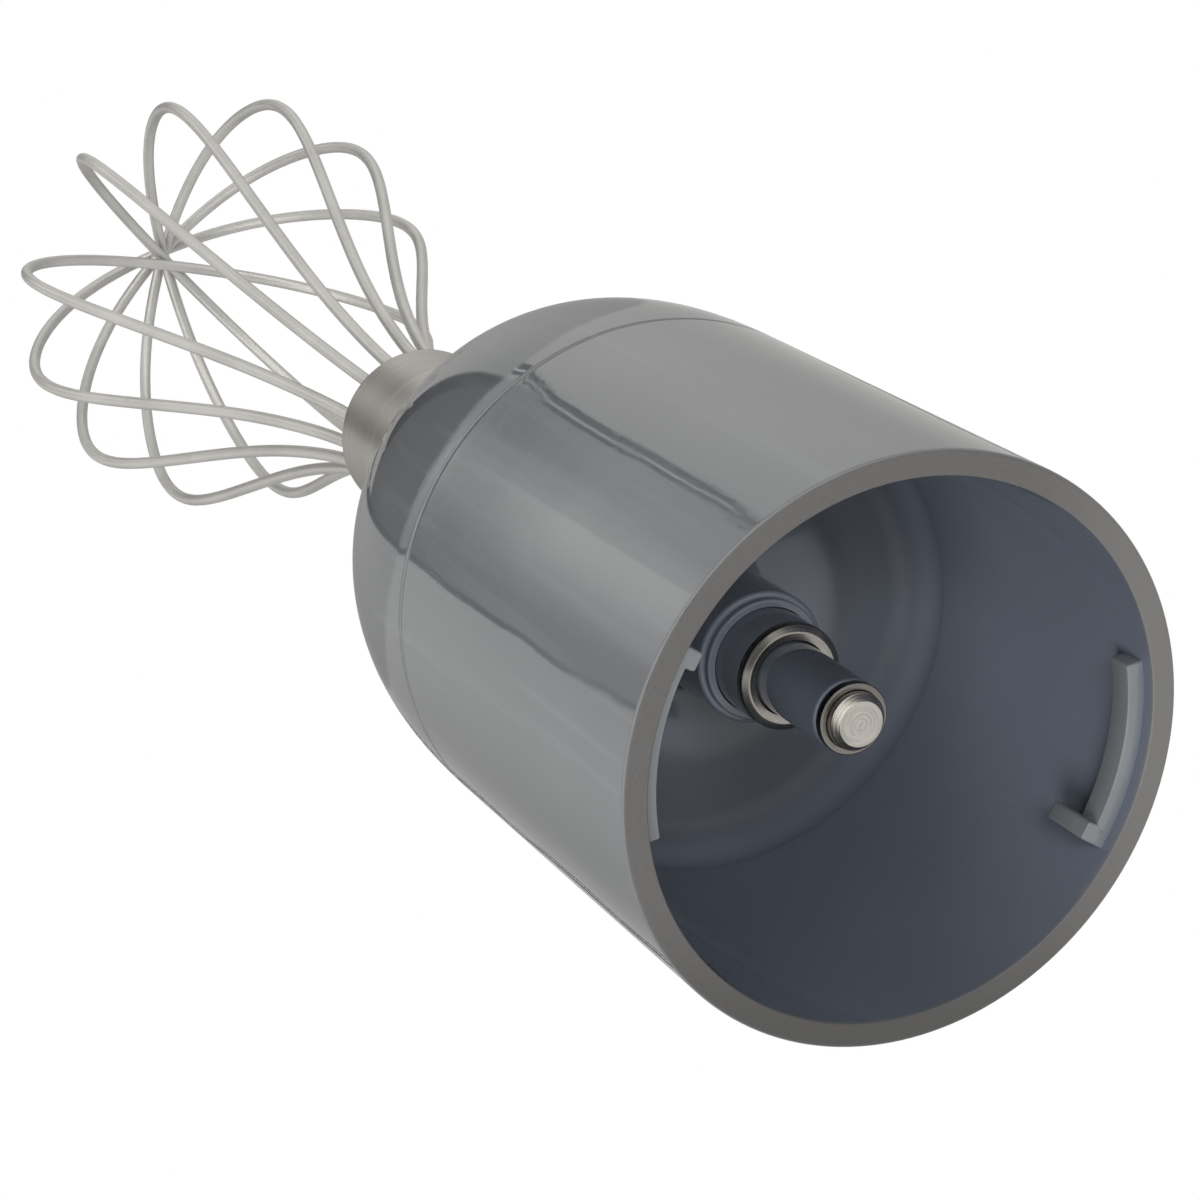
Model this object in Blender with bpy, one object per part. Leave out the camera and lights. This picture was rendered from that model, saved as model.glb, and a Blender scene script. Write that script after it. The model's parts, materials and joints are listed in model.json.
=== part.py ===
"""Whisk attachment for a stick blender, standing on its open collar.

The collar takes the blender's motor unit. A drive shaft in its mouth turns a small
epicyclic gear train in the nose, which turns a cage of steel wire loops.
Metres, +Z up, with the origin at the centre of the rim that it stands on.
"""
import math

import bpy
from mathutils import Vector
from mathutils.geometry import tessellate_polygon

MM = 0.001
TURN = 2 * math.pi

# Clearances
SEAT_GAP = 0.3 * MM             # between pieces that are fixed to each other
RUN_GAP = 0.2 * MM              # round a shaft that turns
AXIAL_GAP = 0.3 * MM            # between faces that turn past each other

# Collar
RIM_RADIUS = 29.0 * MM
COLLAR_WALL = 2.5 * MM
COLLAR_HEIGHT = 53.0 * MM       # from the rim to the seam with the nose
MOUTH_DRAFT = 1.1 * MM          # the cavity narrows by this much down to the shelf
SEAM_WALL = 2.63 * MM           # round the nose's spigot
RIM_EDGE = 0.45 * MM            # bevel at the rim
SEAM_EDGE = 0.4 * MM            # bevel on each side of the seam
SPIGOT_DEPTH = 6.4 * MM         # from the seam to the shelf that carries the gear cover

# Bayonet lugs inside the mouth
LUG_COUNT = 2
LUG_START = math.radians(42)
LUG_SWEEP = math.radians(42)
LUG_SETBACK = 1.6 * MM          # rim plane to the lug
LUG_HEIGHT = 3.0 * MM
LUG_DEPTH = 1.7 * MM            # how far it stands off the wall
STOP_SWEEP = math.radians(4.5)
STOP_HEIGHT = 7.5 * MM
STOP_DEPTH = 2.7 * MM

# Nose
NOSE_HEIGHT = 32.0 * MM
NOSE_ROUNDNESS = 2.7            # exponent of the dome's outline, 2 is an ellipse
NOSE_FACE_RADIUS = 8.5 * MM     # flat end of the nose
NOSE_WALL = 2.4 * MM
SPIGOT_WALL = 1.4 * MM
BEARING_TUBE_WALL = 3.2 * MM
PILLAR_RADIUS = 3.0 * MM

# Gear cover, the floor of the cavity
COVER_LIP_WIDTH = 0.9 * MM
FLOOR_STEP = 1.6 * MM           # the floor lies in front of the collar's shelf
BOWL_DEPTH = 10.0 * MM          # from the cover's lip to the floor
BOWL_ROUND = 6.97 * MM          # width of the bowl's rounded side
COVER_WALL = 2.4 * MM
COVER_FLANGE = 2.3 * MM
BOSS_DEPTH = 29.2 * MM          # rim to the boss's shoulder
BOSS_WALL = 1.13 * MM
BOSS_STEP = 0.8 * MM
BOSS_STEP_WIDTH = 0.6 * MM
RUB_RIB_WIDTH = 2.4 * MM

# Input bush and drive line
BUSH_WALL = 1.52 * MM
BUSH_DEPTH = 22.6 * MM          # rim to the bush's end
BUSH_BACKING = 3.9 * MM         # plastic behind the bush
BUSH_EDGE = 0.25 * MM
COUPLING_WALL = 0.65 * MM
COUPLING_TAPER = 0.12 * MM
COUPLING_ROUND = 0.35 * MM
ROD_SHARE = 0.1                 # the drive shaft's radius as a share of the rim's
TIP_DEPTH = 8.9 * MM            # rim to the end of the drive shaft
TIP_BEVEL_WIDTH = 0.64 * MM
TIP_BEVEL_HEIGHT = 0.8 * MM
TIP_WASHER_SETBACK = 1.5 * MM
TIP_WASHER_THICKNESS = 0.9 * MM
TIP_WASHER_WIDTH = 0.5 * MM
PILOT_RADIUS = 2.0 * MM
PILOT_LENGTH = 5.3 * MM

# Gear train
PRESSURE_ANGLE = math.radians(20)
SUN_TEETH = 12
PLANET_TEETH = 15
RING_TEETH = SUN_TEETH + 2 * PLANET_TEETH
PLANET_COUNT = 3
FIRST_PLANET = math.radians(90)
ADDENDUM_RATIO = 0.85           # of the module
DEDENDUM_RATIO = 1.22
FLANK_GAP = 0.3 * MM
GEAR_WIDTH = 6.5 * MM
RING_WALL = 2.15 * MM
RING_FLANGE = 3.6 * MM
PIN_RADIUS = 1.75 * MM
WASHER_THICKNESS = 0.8 * MM
PLANET_WASHER_WIDTH = 1.6 * MM
DRIVE_WASHER_THICKNESS = 0.7 * MM
DRIVE_WASHER_WIDTH = 2.4 * MM
CARRIER_THICKNESS = 3.2 * MM
CARRIER_MARGIN = 3.6 * MM       # carrier plate beyond the planet pins
CLIP_THICKNESS = 0.8 * MM
CLIP_WIDTH = 2.0 * MM
CLIP_OPENING = math.radians(70)
CLIP_BITE = 0.65 * MM           # depth of a clip's groove

# Ring gear screws
SCREW_RADIUS = 1.2 * MM
SCREW_HEAD_RADIUS = 2.1 * MM
SCREW_HEAD_HEIGHT = 1.4 * MM
SCREW_LENGTH = 10.0 * MM
SCREW_RECESS_RADIUS = 0.9 * MM
SCREW_RECESS_DEPTH = 0.7 * MM

# Output shaft and its bearings
SHAFT_RADIUS = 4.0 * MM
SHAFT_EDGE = 0.4 * MM
SHAFT_FLAT = 0.8 * MM           # depth of the driving flat
OUTPUT_BUSH_WALL = 1.75 * MM
OUTPUT_BUSH_LENGTH = 7.5 * MM
OUTPUT_WASHER_THICKNESS = 0.6 * MM
BEARING_LAND_WIDTH = 1.0 * MM
SEAL_HEIGHT = 2.6 * MM
SEAL_LIP = 0.9 * MM

# Whisk
FERRULE_RADIUS = 10.4 * MM
FERRULE_WALL = 0.8 * MM
FERRULE_LENGTH = 34.6 * MM
FERRULE_ROLL = 0.9 * MM         # radius of the rolled-in end
HUB_RECESS = 0.8 * MM           # the hub's face below the ferrule's end
HUB_BORE_LENGTH = 20.0 * MM
WIRE_RADIUS = 0.7 * MM
WIRE_PITCH_RADIUS = 7.0 * MM
WIRE_GRIP = 12.0 * MM           # length of wire held in the hub
WIRE_STRAIGHT = 6.5 * MM        # above the hub, before the wires spread
WHISK_REACH = 108.6 * MM        # from the hub to the crown of the outermost loop
LOOP_COUNT = 6
LOOP_START = math.radians(37.6)
LOOP_STRAY = [math.radians(a) for a in (-3.0, 0.5, 3.0, 2.5, 4.0, -3.5)]
FLARE_RADIUS = 11.2 * MM        # the wires' outline above the hub: where they spread,
FLARE_HEIGHT = 29.5 * MM
BELLY_RADIUS = 26.8 * MM        # where they near their widest,
BELLY_HEIGHT = 60.2 * MM
SHOULDER_RADIUS = 32.1 * MM     # and where they turn in
SHOULDER_HEIGHT = 83.4 * MM
CROWN_RADIUS = 14.4 * MM

# Fineness
BODY_SIDES = 48
INNER_SIDES = 32
SHAFT_SIDES = 20
SMALL_SIDES = 12
WIRE_SIDES = 6
WIRE_STEPS = 18                # spans of each half of a loop

# Radii and gear sizes worked out from the sizes above
MOUTH_RADIUS = RIM_RADIUS - COLLAR_WALL
SHELF_RADIUS = MOUTH_RADIUS - MOUTH_DRAFT
SPIGOT_RADIUS = RIM_RADIUS - SEAM_WALL - SEAT_GAP
NOSE_BORE_RADIUS = SPIGOT_RADIUS - SPIGOT_WALL
RING_RADIUS = NOSE_BORE_RADIUS - SEAT_GAP
MODULE = (RING_RADIUS - RING_WALL) / (RING_TEETH / 2 + DEDENDUM_RATIO)
ADDENDUM = ADDENDUM_RATIO * MODULE
DEDENDUM = DEDENDUM_RATIO * MODULE
SUN_PITCH_RADIUS = SUN_TEETH * MODULE / 2
PLANET_PITCH_RADIUS = PLANET_TEETH * MODULE / 2
RING_PITCH_RADIUS = RING_TEETH * MODULE / 2
PLANET_ORBIT = SUN_PITCH_RADIUS + PLANET_PITCH_RADIUS
CARRIER_RADIUS = PLANET_ORBIT + CARRIER_MARGIN
RING_FLANGE_BORE = CARRIER_RADIUS + 2 * SEAT_GAP
SCREW_ORBIT = (RING_FLANGE_BORE + RING_RADIUS) / 2 - SEAT_GAP
OUTPUT_BUSH_BORE = SHAFT_RADIUS + RUN_GAP
OUTPUT_BUSH_RADIUS = OUTPUT_BUSH_BORE + OUTPUT_BUSH_WALL
BEARING_BORE = OUTPUT_BUSH_RADIUS + SEAT_GAP
BEARING_TUBE_RADIUS = BEARING_BORE + BEARING_TUBE_WALL
ROD_RADIUS = ROD_SHARE * RIM_RADIUS
ROD_BORE = ROD_RADIUS + RUN_GAP
COUPLING_RADIUS = ROD_BORE + COUPLING_WALL
BUSH_RADIUS = COUPLING_RADIUS + RUN_GAP + BUSH_WALL
BOSS_RADIUS = BUSH_RADIUS + SEAT_GAP + BOSS_WALL

# Heights worked out from the sizes above
SHELF_DEPTH = COLLAR_HEIGHT - SPIGOT_DEPTH
FLANGE_BASE = SHELF_DEPTH + SEAT_GAP
FLANGE_TOP = FLANGE_BASE + COVER_FLANGE
FLOOR_DEPTH = SHELF_DEPTH - FLOOR_STEP
COVER_LIP_DEPTH = FLOOR_DEPTH - BOWL_DEPTH
COVER_BACK = FLOOR_DEPTH + COVER_WALL
BUSH_SEAT = COVER_BACK - BUSH_BACKING
BUSH_END = BUSH_SEAT - SEAT_GAP
GEAR_BASE = COVER_BACK + DRIVE_WASHER_THICKNESS + 2 * AXIAL_GAP
GEAR_TOP = GEAR_BASE + GEAR_WIDTH
WASHER_BASE = GEAR_TOP + AXIAL_GAP
CARRIER_BASE = WASHER_BASE + WASHER_THICKNESS + AXIAL_GAP
CARRIER_TOP = CARRIER_BASE + CARRIER_THICKNESS
SHAFT_BASE = CARRIER_BASE + AXIAL_GAP
RING_TOP = GEAR_TOP + AXIAL_GAP + RING_FLANGE
OUTPUT_CLIP_BASE = CARRIER_TOP + 4 * AXIAL_GAP
OUTPUT_WASHER_BASE = OUTPUT_CLIP_BASE + CLIP_THICKNESS + AXIAL_GAP
BEARING_TUBE_BASE = OUTPUT_WASHER_BASE + OUTPUT_WASHER_THICKNESS + AXIAL_GAP
NOSE_TOP = COLLAR_HEIGHT + NOSE_HEIGHT
FERRULE_BASE = NOSE_TOP + 2 * AXIAL_GAP
FERRULE_TOP = FERRULE_BASE + FERRULE_LENGTH
HUB_BASE = FERRULE_BASE + FERRULE_WALL + SEAT_GAP
HUB_TOP = FERRULE_TOP - HUB_RECESS


def cavity_radius(height):
    """Inside radius of the collar at a height above the rim."""
    return MOUTH_RADIUS - MOUTH_DRAFT * height / SHELF_DEPTH


def arc(centre, radii, start, end, steps):
    """Points of an elliptical arc in the (radius, height) plane, angles in degrees."""
    points = []
    for step in range(steps + 1):
        angle = math.radians(start + (end - start) * step / steps)
        points.append((centre[0] + radii[0] * math.cos(angle), centre[1] + radii[1] * math.sin(angle)))
    return points


def circle(radius, sides, centre=(0.0, 0.0), start=0.0):
    """A closed outline in the XY plane."""
    angles = [start + TURN * side / sides for side in range(sides)]
    return [(centre[0] + radius * math.cos(a), centre[1] + radius * math.sin(a)) for a in angles]


def signed_area(outline):
    """Area of a closed outline, positive when it runs anticlockwise."""
    pairs = zip(outline, outline[1:] + outline[:1])
    return sum(a[0] * b[1] - b[0] * a[1] for a, b in pairs) / 2


def make_material(name, colour, roughness, metallic=0.0):
    """A Principled material with one plain finish."""
    material = bpy.data.materials.new(name)
    material.use_nodes = True
    shader = material.node_tree.nodes["Principled BSDF"]
    shader.inputs["Base Color"].default_value = (*colour, 1.0)
    shader.inputs["Roughness"].default_value = roughness
    shader.inputs["Metallic"].default_value = metallic
    return material


def make_object(name, vertices, faces, material, location=(0, 0, 0), parent=None, sharp=30):
    """An object in the scene, smooth where its faces meet at less than the sharp angle."""
    mesh = bpy.data.meshes.new(name)
    mesh.from_pydata([tuple(v) for v in vertices], [], faces)
    mesh.shade_smooth()
    mesh.set_sharp_from_angle(angle=math.radians(sharp))
    if material is not None:
        mesh.materials.append(material)
    piece = bpy.data.objects.new(name, mesh)
    bpy.context.scene.collection.objects.link(piece)
    piece.location = location
    piece.parent = parent
    return piece


def make_axis(name, location, parent=None):
    """An empty that stands on an axis of rotation and carries what turns about it."""
    axis = bpy.data.objects.new(name, None)
    axis.empty_display_size = RIM_RADIUS
    bpy.context.scene.collection.objects.link(axis)
    axis.location = location
    axis.parent = parent
    return axis


def lathe_mesh(outline, sides):
    """Vertices and faces of a closed (radius, height) outline turned about Z."""
    if signed_area(outline) < 0:
        outline = outline[::-1]
    vertices, rings = [], []
    for radius, height in outline:
        if radius < 1e-9:
            rings.append([len(vertices)] * sides)
            vertices.append((0.0, 0.0, height))
        else:
            rings.append(list(range(len(vertices), len(vertices) + sides)))
            vertices += [(x, y, height) for x, y in circle(radius, sides)]
    faces = []
    for lower, upper in zip(rings, rings[1:] + rings[:1]):
        if lower[0] == lower[1] and upper[0] == upper[1]:
            continue
        for side in range(sides):
            after = (side + 1) % sides
            corners = [lower[side], lower[after], upper[after], upper[side]]
            faces.append(list(dict.fromkeys(corners)))
    return vertices, faces


def turned(name, outline, material, sides=SHAFT_SIDES, location=(0, 0, 0), parent=None, base=0.0):
    """A lathe-turned piece, its outline given above the base height that it is placed at."""
    moved = [(radius, height - base) for radius, height in outline]
    vertices, faces = lathe_mesh(moved, sides)
    place = Vector(location) + Vector((0, 0, base))
    return make_object(name, vertices, faces, material, place, parent)


def prism_mesh(outlines, low, high):
    """Vertices and faces of a plate between two heights. The first outline is its edge,
    the others are holes."""
    loops = []
    for number, outline in enumerate(outlines):
        anticlockwise = signed_area(outline) > 0
        loops.append(outline if anticlockwise == (number == 0) else outline[::-1])
    flat = [point for loop in loops for point in loop]
    vertices = [(x, y, low) for x, y in flat] + [(x, y, high) for x, y in flat]
    count = len(flat)
    faces = []
    for corners in tessellate_polygon([[Vector((x, y, 0)) for x, y in loop] for loop in loops]):
        a, b, c = corners
        if signed_area([flat[a], flat[b], flat[c]]) < 0:
            a, c = c, a
        faces.append((c, b, a))
        faces.append((a + count, b + count, c + count))
    start = 0
    for loop in loops:
        for index in range(len(loop)):
            here, after = start + index, start + (index + 1) % len(loop)
            faces.append((here, after, after + count, here + count))
        start += len(loop)
    return vertices, faces


def plate(name, outlines, thickness, material, location=(0, 0, 0), parent=None):
    """A flat piece of one thickness, with holes."""
    vertices, faces = prism_mesh(outlines, 0.0, thickness)
    return make_object(name, vertices, faces, material, location, parent)


def merged(meshes):
    """One list of vertices and faces from several separate ones."""
    vertices, faces = [], []
    for more_vertices, more_faces in meshes:
        faces += [[index + len(vertices) for index in face] for face in more_faces]
        vertices += more_vertices
    return vertices, faces


def combine(target, meshes, operation):
    """Join or cut a piece with solids that stay in the file as hidden guides."""
    vertices, faces = merged(meshes)
    name = target.name + "_" + operation.lower()
    guide = make_object(name, vertices, faces, None, target.location, target.parent)
    guide.hide_render = True
    guide.display_type = "WIRE"
    modifier = target.modifiers.new(operation.title(), "BOOLEAN")
    modifier.operation = operation
    modifier.solver = "EXACT"
    modifier.object = guide


def wedge_mesh(inner, outer, low, high, start, sweep, steps):
    """A block between two radii, two heights and two angles."""
    angles = [start + sweep * step / steps for step in range(steps + 1)]
    outline = [(outer * math.cos(a), outer * math.sin(a)) for a in angles]
    outline += [(inner * math.cos(a), inner * math.sin(a)) for a in reversed(angles)]
    return prism_mesh([outline], low, high)


def gear_outline(teeth, radii, pitch_thickness, start):
    """Outline of a gear with involute flanks and a tooth centred on the start angle. The
    radii are those of a flank's points, from the root to the tip."""
    pitch = teeth * MODULE / 2
    base = pitch * math.cos(PRESSURE_ANGLE)

    def involute(radius):
        angle = math.acos(min(base / radius, 1.0))
        return math.tan(angle) - angle

    def half_angle(radius):
        return pitch_thickness / (2 * pitch) + involute(pitch) - involute(radius)

    points = []
    for tooth in range(teeth):
        centre = start + TURN * tooth / teeth
        flank = [(radius, half_angle(max(radius, base))) for radius in radii]
        for radius, angle in flank:
            points.append((radius * math.cos(centre - angle), radius * math.sin(centre - angle)))
        for radius, angle in reversed(flank):
            points.append((radius * math.cos(centre + angle), radius * math.sin(centre + angle)))
    return points


def clip_outline(inner, start):
    """Outline of a spring clip, a ring open on one side."""
    first = start + CLIP_OPENING / 2
    sweep = TURN - CLIP_OPENING
    angles = [first + sweep * step / SMALL_SIDES for step in range(SMALL_SIDES + 1)]
    outer = inner + CLIP_WIDTH
    outline = [(outer * math.cos(a), outer * math.sin(a)) for a in angles]
    return outline + [(inner * math.cos(a), inner * math.sin(a)) for a in reversed(angles)]


def dome_height(inset, radius):
    """Height of the nose's surface at a radius, set in from the outside."""
    share = (radius - NOSE_FACE_RADIUS) / (RIM_RADIUS - inset - NOSE_FACE_RADIUS)
    return COLLAR_HEIGHT + (NOSE_HEIGHT - inset) * (1 - share ** NOSE_ROUNDNESS) ** (1 / NOSE_ROUNDNESS)


def dome_curve(inset, limit, steps):
    """The nose's outline from its widest point to its flat end, set in from the outside.
    It starts at the limit radius."""
    reach = RIM_RADIUS - inset - NOSE_FACE_RADIUS
    height = NOSE_HEIGHT - inset
    power = 2 / NOSE_ROUNDNESS
    share = min((limit - NOSE_FACE_RADIUS) / reach, 1.0)
    first = math.acos(share ** (1 / power))
    points = []
    for step in range(steps + 1):
        angle = first + (math.pi / 2 - first) * step / steps
        across = max(math.cos(angle), 0.0) ** power
        points.append((NOSE_FACE_RADIUS + reach * across, COLLAR_HEIGHT + height * math.sin(angle) ** power))
    return points


def bspline(control, steps):
    """Points of a clamped cubic B-spline through its first and last control points."""
    degree = 3
    spans = len(control) - degree
    knots = [0.0] * degree + [float(k) for k in range(spans + 1)] + [float(spans)] * degree

    def weight(index, order, at):
        if order == 0:
            last = at >= spans and knots[index] < spans <= knots[index + 1]
            return 1.0 if last or knots[index] <= at < knots[index + 1] else 0.0
        total = 0.0
        rise = knots[index + order] - knots[index]
        fall = knots[index + order + 1] - knots[index + 1]
        if rise > 0:
            total += (at - knots[index]) / rise * weight(index, order - 1, at)
        if fall > 0:
            total += (knots[index + order + 1] - at) / fall * weight(index + 1, order - 1, at)
        return total

    points = []
    for step in range(steps + 1):
        at = spans * step / steps
        weights = [weight(index, degree, at) for index in range(len(control))]
        across = sum(w * p[0] for w, p in zip(weights, control))
        up = sum(w * p[1] for w, p in zip(weights, control))
        points.append((across, up))
    return points


def build_collar(plastic):
    """The outer collar with its cavity wall, shelf and two bayonet lugs."""
    outline = [
        (MOUTH_RADIUS + RIM_EDGE / 2, 0.0),
        (RIM_RADIUS - RIM_EDGE, 0.0),
        (RIM_RADIUS, RIM_EDGE),
        (RIM_RADIUS, COLLAR_HEIGHT - SEAM_EDGE),
        (RIM_RADIUS - SEAM_EDGE, COLLAR_HEIGHT),
        (SPIGOT_RADIUS + SEAT_GAP, COLLAR_HEIGHT),
        (SPIGOT_RADIUS + SEAT_GAP, SHELF_DEPTH),
        (SHELF_RADIUS, SHELF_DEPTH),
        (cavity_radius(RIM_EDGE), RIM_EDGE),
    ]
    collar = turned("collar_shell", outline, plastic, BODY_SIDES)
    root = MOUTH_RADIUS + COLLAR_WALL / 2
    low = LUG_SETBACK
    ribs, stops = [], []
    for lug in range(LUG_COUNT):
        start = LUG_START + TURN * lug / LUG_COUNT
        end = start + LUG_SWEEP - STOP_SWEEP
        rib_sweep = LUG_SWEEP - STOP_SWEEP / 2
        ribs.append(wedge_mesh(MOUTH_RADIUS - LUG_DEPTH, root, low, low + LUG_HEIGHT, start, rib_sweep, 7))
        stops.append(wedge_mesh(MOUTH_RADIUS - STOP_DEPTH, root, low, low + STOP_HEIGHT, end, STOP_SWEEP, 1))
    combine(collar, ribs, "UNION")
    combine(collar, stops, "UNION")


def build_nose(plastic):
    """The domed nose with its spigot, bearing tube and three screw pillars."""
    seam = COLLAR_HEIGHT + SEAT_GAP
    dome = [point for point in dome_curve(0.0, RIM_RADIUS, 9) if point[1] > seam + SEAM_EDGE]
    inside = dome_curve(NOSE_WALL, NOSE_BORE_RADIUS, 4)
    inside = [point for point in inside if point[0] > BEARING_TUBE_RADIUS + NOSE_WALL / 2]
    land = BEARING_BORE - BEARING_LAND_WIDTH
    land_low = BEARING_TUBE_BASE + OUTPUT_BUSH_LENGTH + 2 * SEAT_GAP
    land_high = NOSE_TOP - SEAL_HEIGHT - OUTPUT_BUSH_LENGTH - 4 * SEAT_GAP
    outline = [
        (NOSE_BORE_RADIUS, FLANGE_TOP + SEAT_GAP),
        (SPIGOT_RADIUS, FLANGE_TOP + SEAT_GAP),
        (SPIGOT_RADIUS, seam),
        (RIM_RADIUS - SEAM_EDGE, seam),
        (RIM_RADIUS, seam + SEAM_EDGE),
        *dome,
        (BEARING_BORE, NOSE_TOP),
        (BEARING_BORE, land_high),
        (land, land_high),
        (land, land_low),
        (BEARING_BORE, land_low),
        (BEARING_BORE, BEARING_TUBE_BASE),
        (BEARING_TUBE_RADIUS, BEARING_TUBE_BASE),
        (BEARING_TUBE_RADIUS, NOSE_TOP - NOSE_WALL - NOSE_WALL / 2),
        (BEARING_TUBE_RADIUS + NOSE_WALL / 2, NOSE_TOP - NOSE_WALL),
        *reversed(inside),
    ]
    nose = turned("nose_cap", outline, plastic, BODY_SIDES)
    base = RING_TOP + SEAT_GAP
    reach = SCREW_ORBIT + PILLAR_RADIUS
    top = (dome_height(0.0, reach) + dome_height(NOSE_WALL, reach)) / 2
    places = [screw_place(number) for number in range(PLANET_COUNT)]
    pillars = [prism_mesh([circle(PILLAR_RADIUS, SMALL_SIDES, place)], base, top) for place in places]
    combine(nose, pillars, "UNION")
    depth = SCREW_LENGTH + 2 * SEAT_GAP
    low, high = base - depth / 2, base + depth
    bore = SCREW_RADIUS + SEAT_GAP
    holes = [prism_mesh([circle(bore, SMALL_SIDES, place)], low, high) for place in places]
    combine(nose, holes, "DIFFERENCE")


def screw_place(number):
    """Where a ring gear screw stands, between two of the planets' rest places."""
    angle = FIRST_PLANET + TURN * (number + 0.5) / PLANET_COUNT
    return SCREW_ORBIT * math.cos(angle), SCREW_ORBIT * math.sin(angle)


def build_cover(plastic):
    """The cavity's floor, which closes the gear case and carries the input bush."""
    lip = cavity_radius(COVER_LIP_DEPTH) - SEAT_GAP
    skirt = SHELF_RADIUS - SEAT_GAP
    inside = lip - COVER_LIP_WIDTH
    floor = inside - BOWL_ROUND
    bowl = arc((floor, COVER_LIP_DEPTH), (BOWL_ROUND, BOWL_DEPTH), 0, 90, 5)
    groove = skirt - COVER_WALL
    rib = (PLANET_ORBIT - RUB_RIB_WIDTH / 2, PLANET_ORBIT + RUB_RIB_WIDTH / 2)
    rib_top = GEAR_BASE - AXIAL_GAP
    fillet = COVER_WALL / 2
    outline = [
        *bowl,
        (BOSS_RADIUS + fillet, FLOOR_DEPTH),
        (BOSS_RADIUS, FLOOR_DEPTH - fillet),
        (BOSS_RADIUS, BOSS_DEPTH),
        (BOSS_RADIUS - BOSS_STEP_WIDTH, BOSS_DEPTH),
        (BOSS_RADIUS - BOSS_STEP_WIDTH, BOSS_DEPTH - BOSS_STEP),
        (BUSH_RADIUS + SEAT_GAP, BOSS_DEPTH - BOSS_STEP),
        (BUSH_RADIUS + SEAT_GAP, BUSH_SEAT),
        (ROD_BORE + RUN_GAP, BUSH_SEAT),
        (ROD_BORE + RUN_GAP, COVER_BACK),
        (rib[0], COVER_BACK),
        (rib[0], rib_top),
        (rib[1], rib_top),
        (rib[1], COVER_BACK),
        (floor, COVER_BACK),
        (groove, (COVER_LIP_DEPTH + COVER_BACK) / 2 + COVER_WALL),
        (groove, GEAR_BASE - SEAT_GAP),
        (NOSE_BORE_RADIUS, GEAR_BASE - SEAT_GAP),
        (NOSE_BORE_RADIUS, FLANGE_TOP),
        (SPIGOT_RADIUS, FLANGE_TOP),
        (SPIGOT_RADIUS, FLANGE_BASE),
        (skirt, FLANGE_BASE),
        (lip, COVER_LIP_DEPTH),
    ]
    turned("gear_cover", outline, plastic, INNER_SIDES)


def build_input_bush(steel):
    """The steel bush that the drive shaft turns in."""
    bore = COUPLING_RADIUS + RUN_GAP
    low, high = BUSH_DEPTH, BUSH_END
    outline = [
        (bore + BUSH_EDGE, low),
        (BUSH_RADIUS - BUSH_EDGE, low),
        (BUSH_RADIUS, low + BUSH_EDGE),
        (BUSH_RADIUS, high),
        (bore, high),
        (bore, low + BUSH_EDGE),
    ]
    turned("input_bush", outline, steel, INNER_SIDES, base=low)


def build_ring_gear(plastic, steel):
    """The fixed internal gear with the flange and screws that hold it to the nose."""
    blank = [
        (RING_FLANGE_BORE, GEAR_BASE),
        (RING_RADIUS, GEAR_BASE),
        (RING_RADIUS, RING_TOP),
        (RING_FLANGE_BORE, RING_TOP),
    ]
    ring = turned("ring_gear", blank, plastic, INNER_SIDES)
    space = math.pi * MODULE / 2 + FLANK_GAP
    radii = (RING_PITCH_RADIUS - ADDENDUM, RING_PITCH_RADIUS + DEDENDUM)
    teeth = gear_outline(RING_TEETH, radii, space, FIRST_PLANET)
    combine(ring, [prism_mesh([teeth], GEAR_BASE - GEAR_WIDTH, GEAR_TOP + AXIAL_GAP)], "DIFFERENCE")
    head = SCREW_HEAD_HEIGHT + 2 * SEAT_GAP
    seat = GEAR_TOP + AXIAL_GAP
    holes = []
    for number in range(PLANET_COUNT):
        bore = SCREW_RADIUS + SEAT_GAP
        counterbore = SCREW_HEAD_RADIUS + SEAT_GAP
        stepped = [
            (0.0, seat - head / 2), (counterbore, seat - head / 2), (counterbore, seat + head),
            (bore, seat + head), (bore, RING_TOP + head), (0.0, RING_TOP + head),
        ]
        vertices, faces = lathe_mesh(stepped, SMALL_SIDES)
        x, y = screw_place(number)
        holes.append(([(vx + x, vy + y, vz) for vx, vy, vz in vertices], faces))
    combine(ring, holes, "DIFFERENCE")
    for number in range(PLANET_COUNT):
        build_ring_screw(number, seat + SEAT_GAP, steel)


def build_ring_screw(number, base, steel):
    """One screw that holds the ring gear against a pillar of the nose."""
    top = base + SCREW_HEAD_HEIGHT
    outline = [
        (0.0, base + SCREW_RECESS_DEPTH),
        (SCREW_RECESS_RADIUS, base + SCREW_RECESS_DEPTH),
        (SCREW_RECESS_RADIUS, base),
        (SCREW_HEAD_RADIUS, base),
        (SCREW_HEAD_RADIUS, top),
        (SCREW_RADIUS, top),
        (SCREW_RADIUS, top + SCREW_LENGTH - SCREW_RADIUS),
        (0.0, top + SCREW_LENGTH),
    ]
    x, y = screw_place(number)
    turned(f"ring_gear_screw_{number + 1}", outline, steel, SMALL_SIDES, (x, y, 0), base=base)


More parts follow.
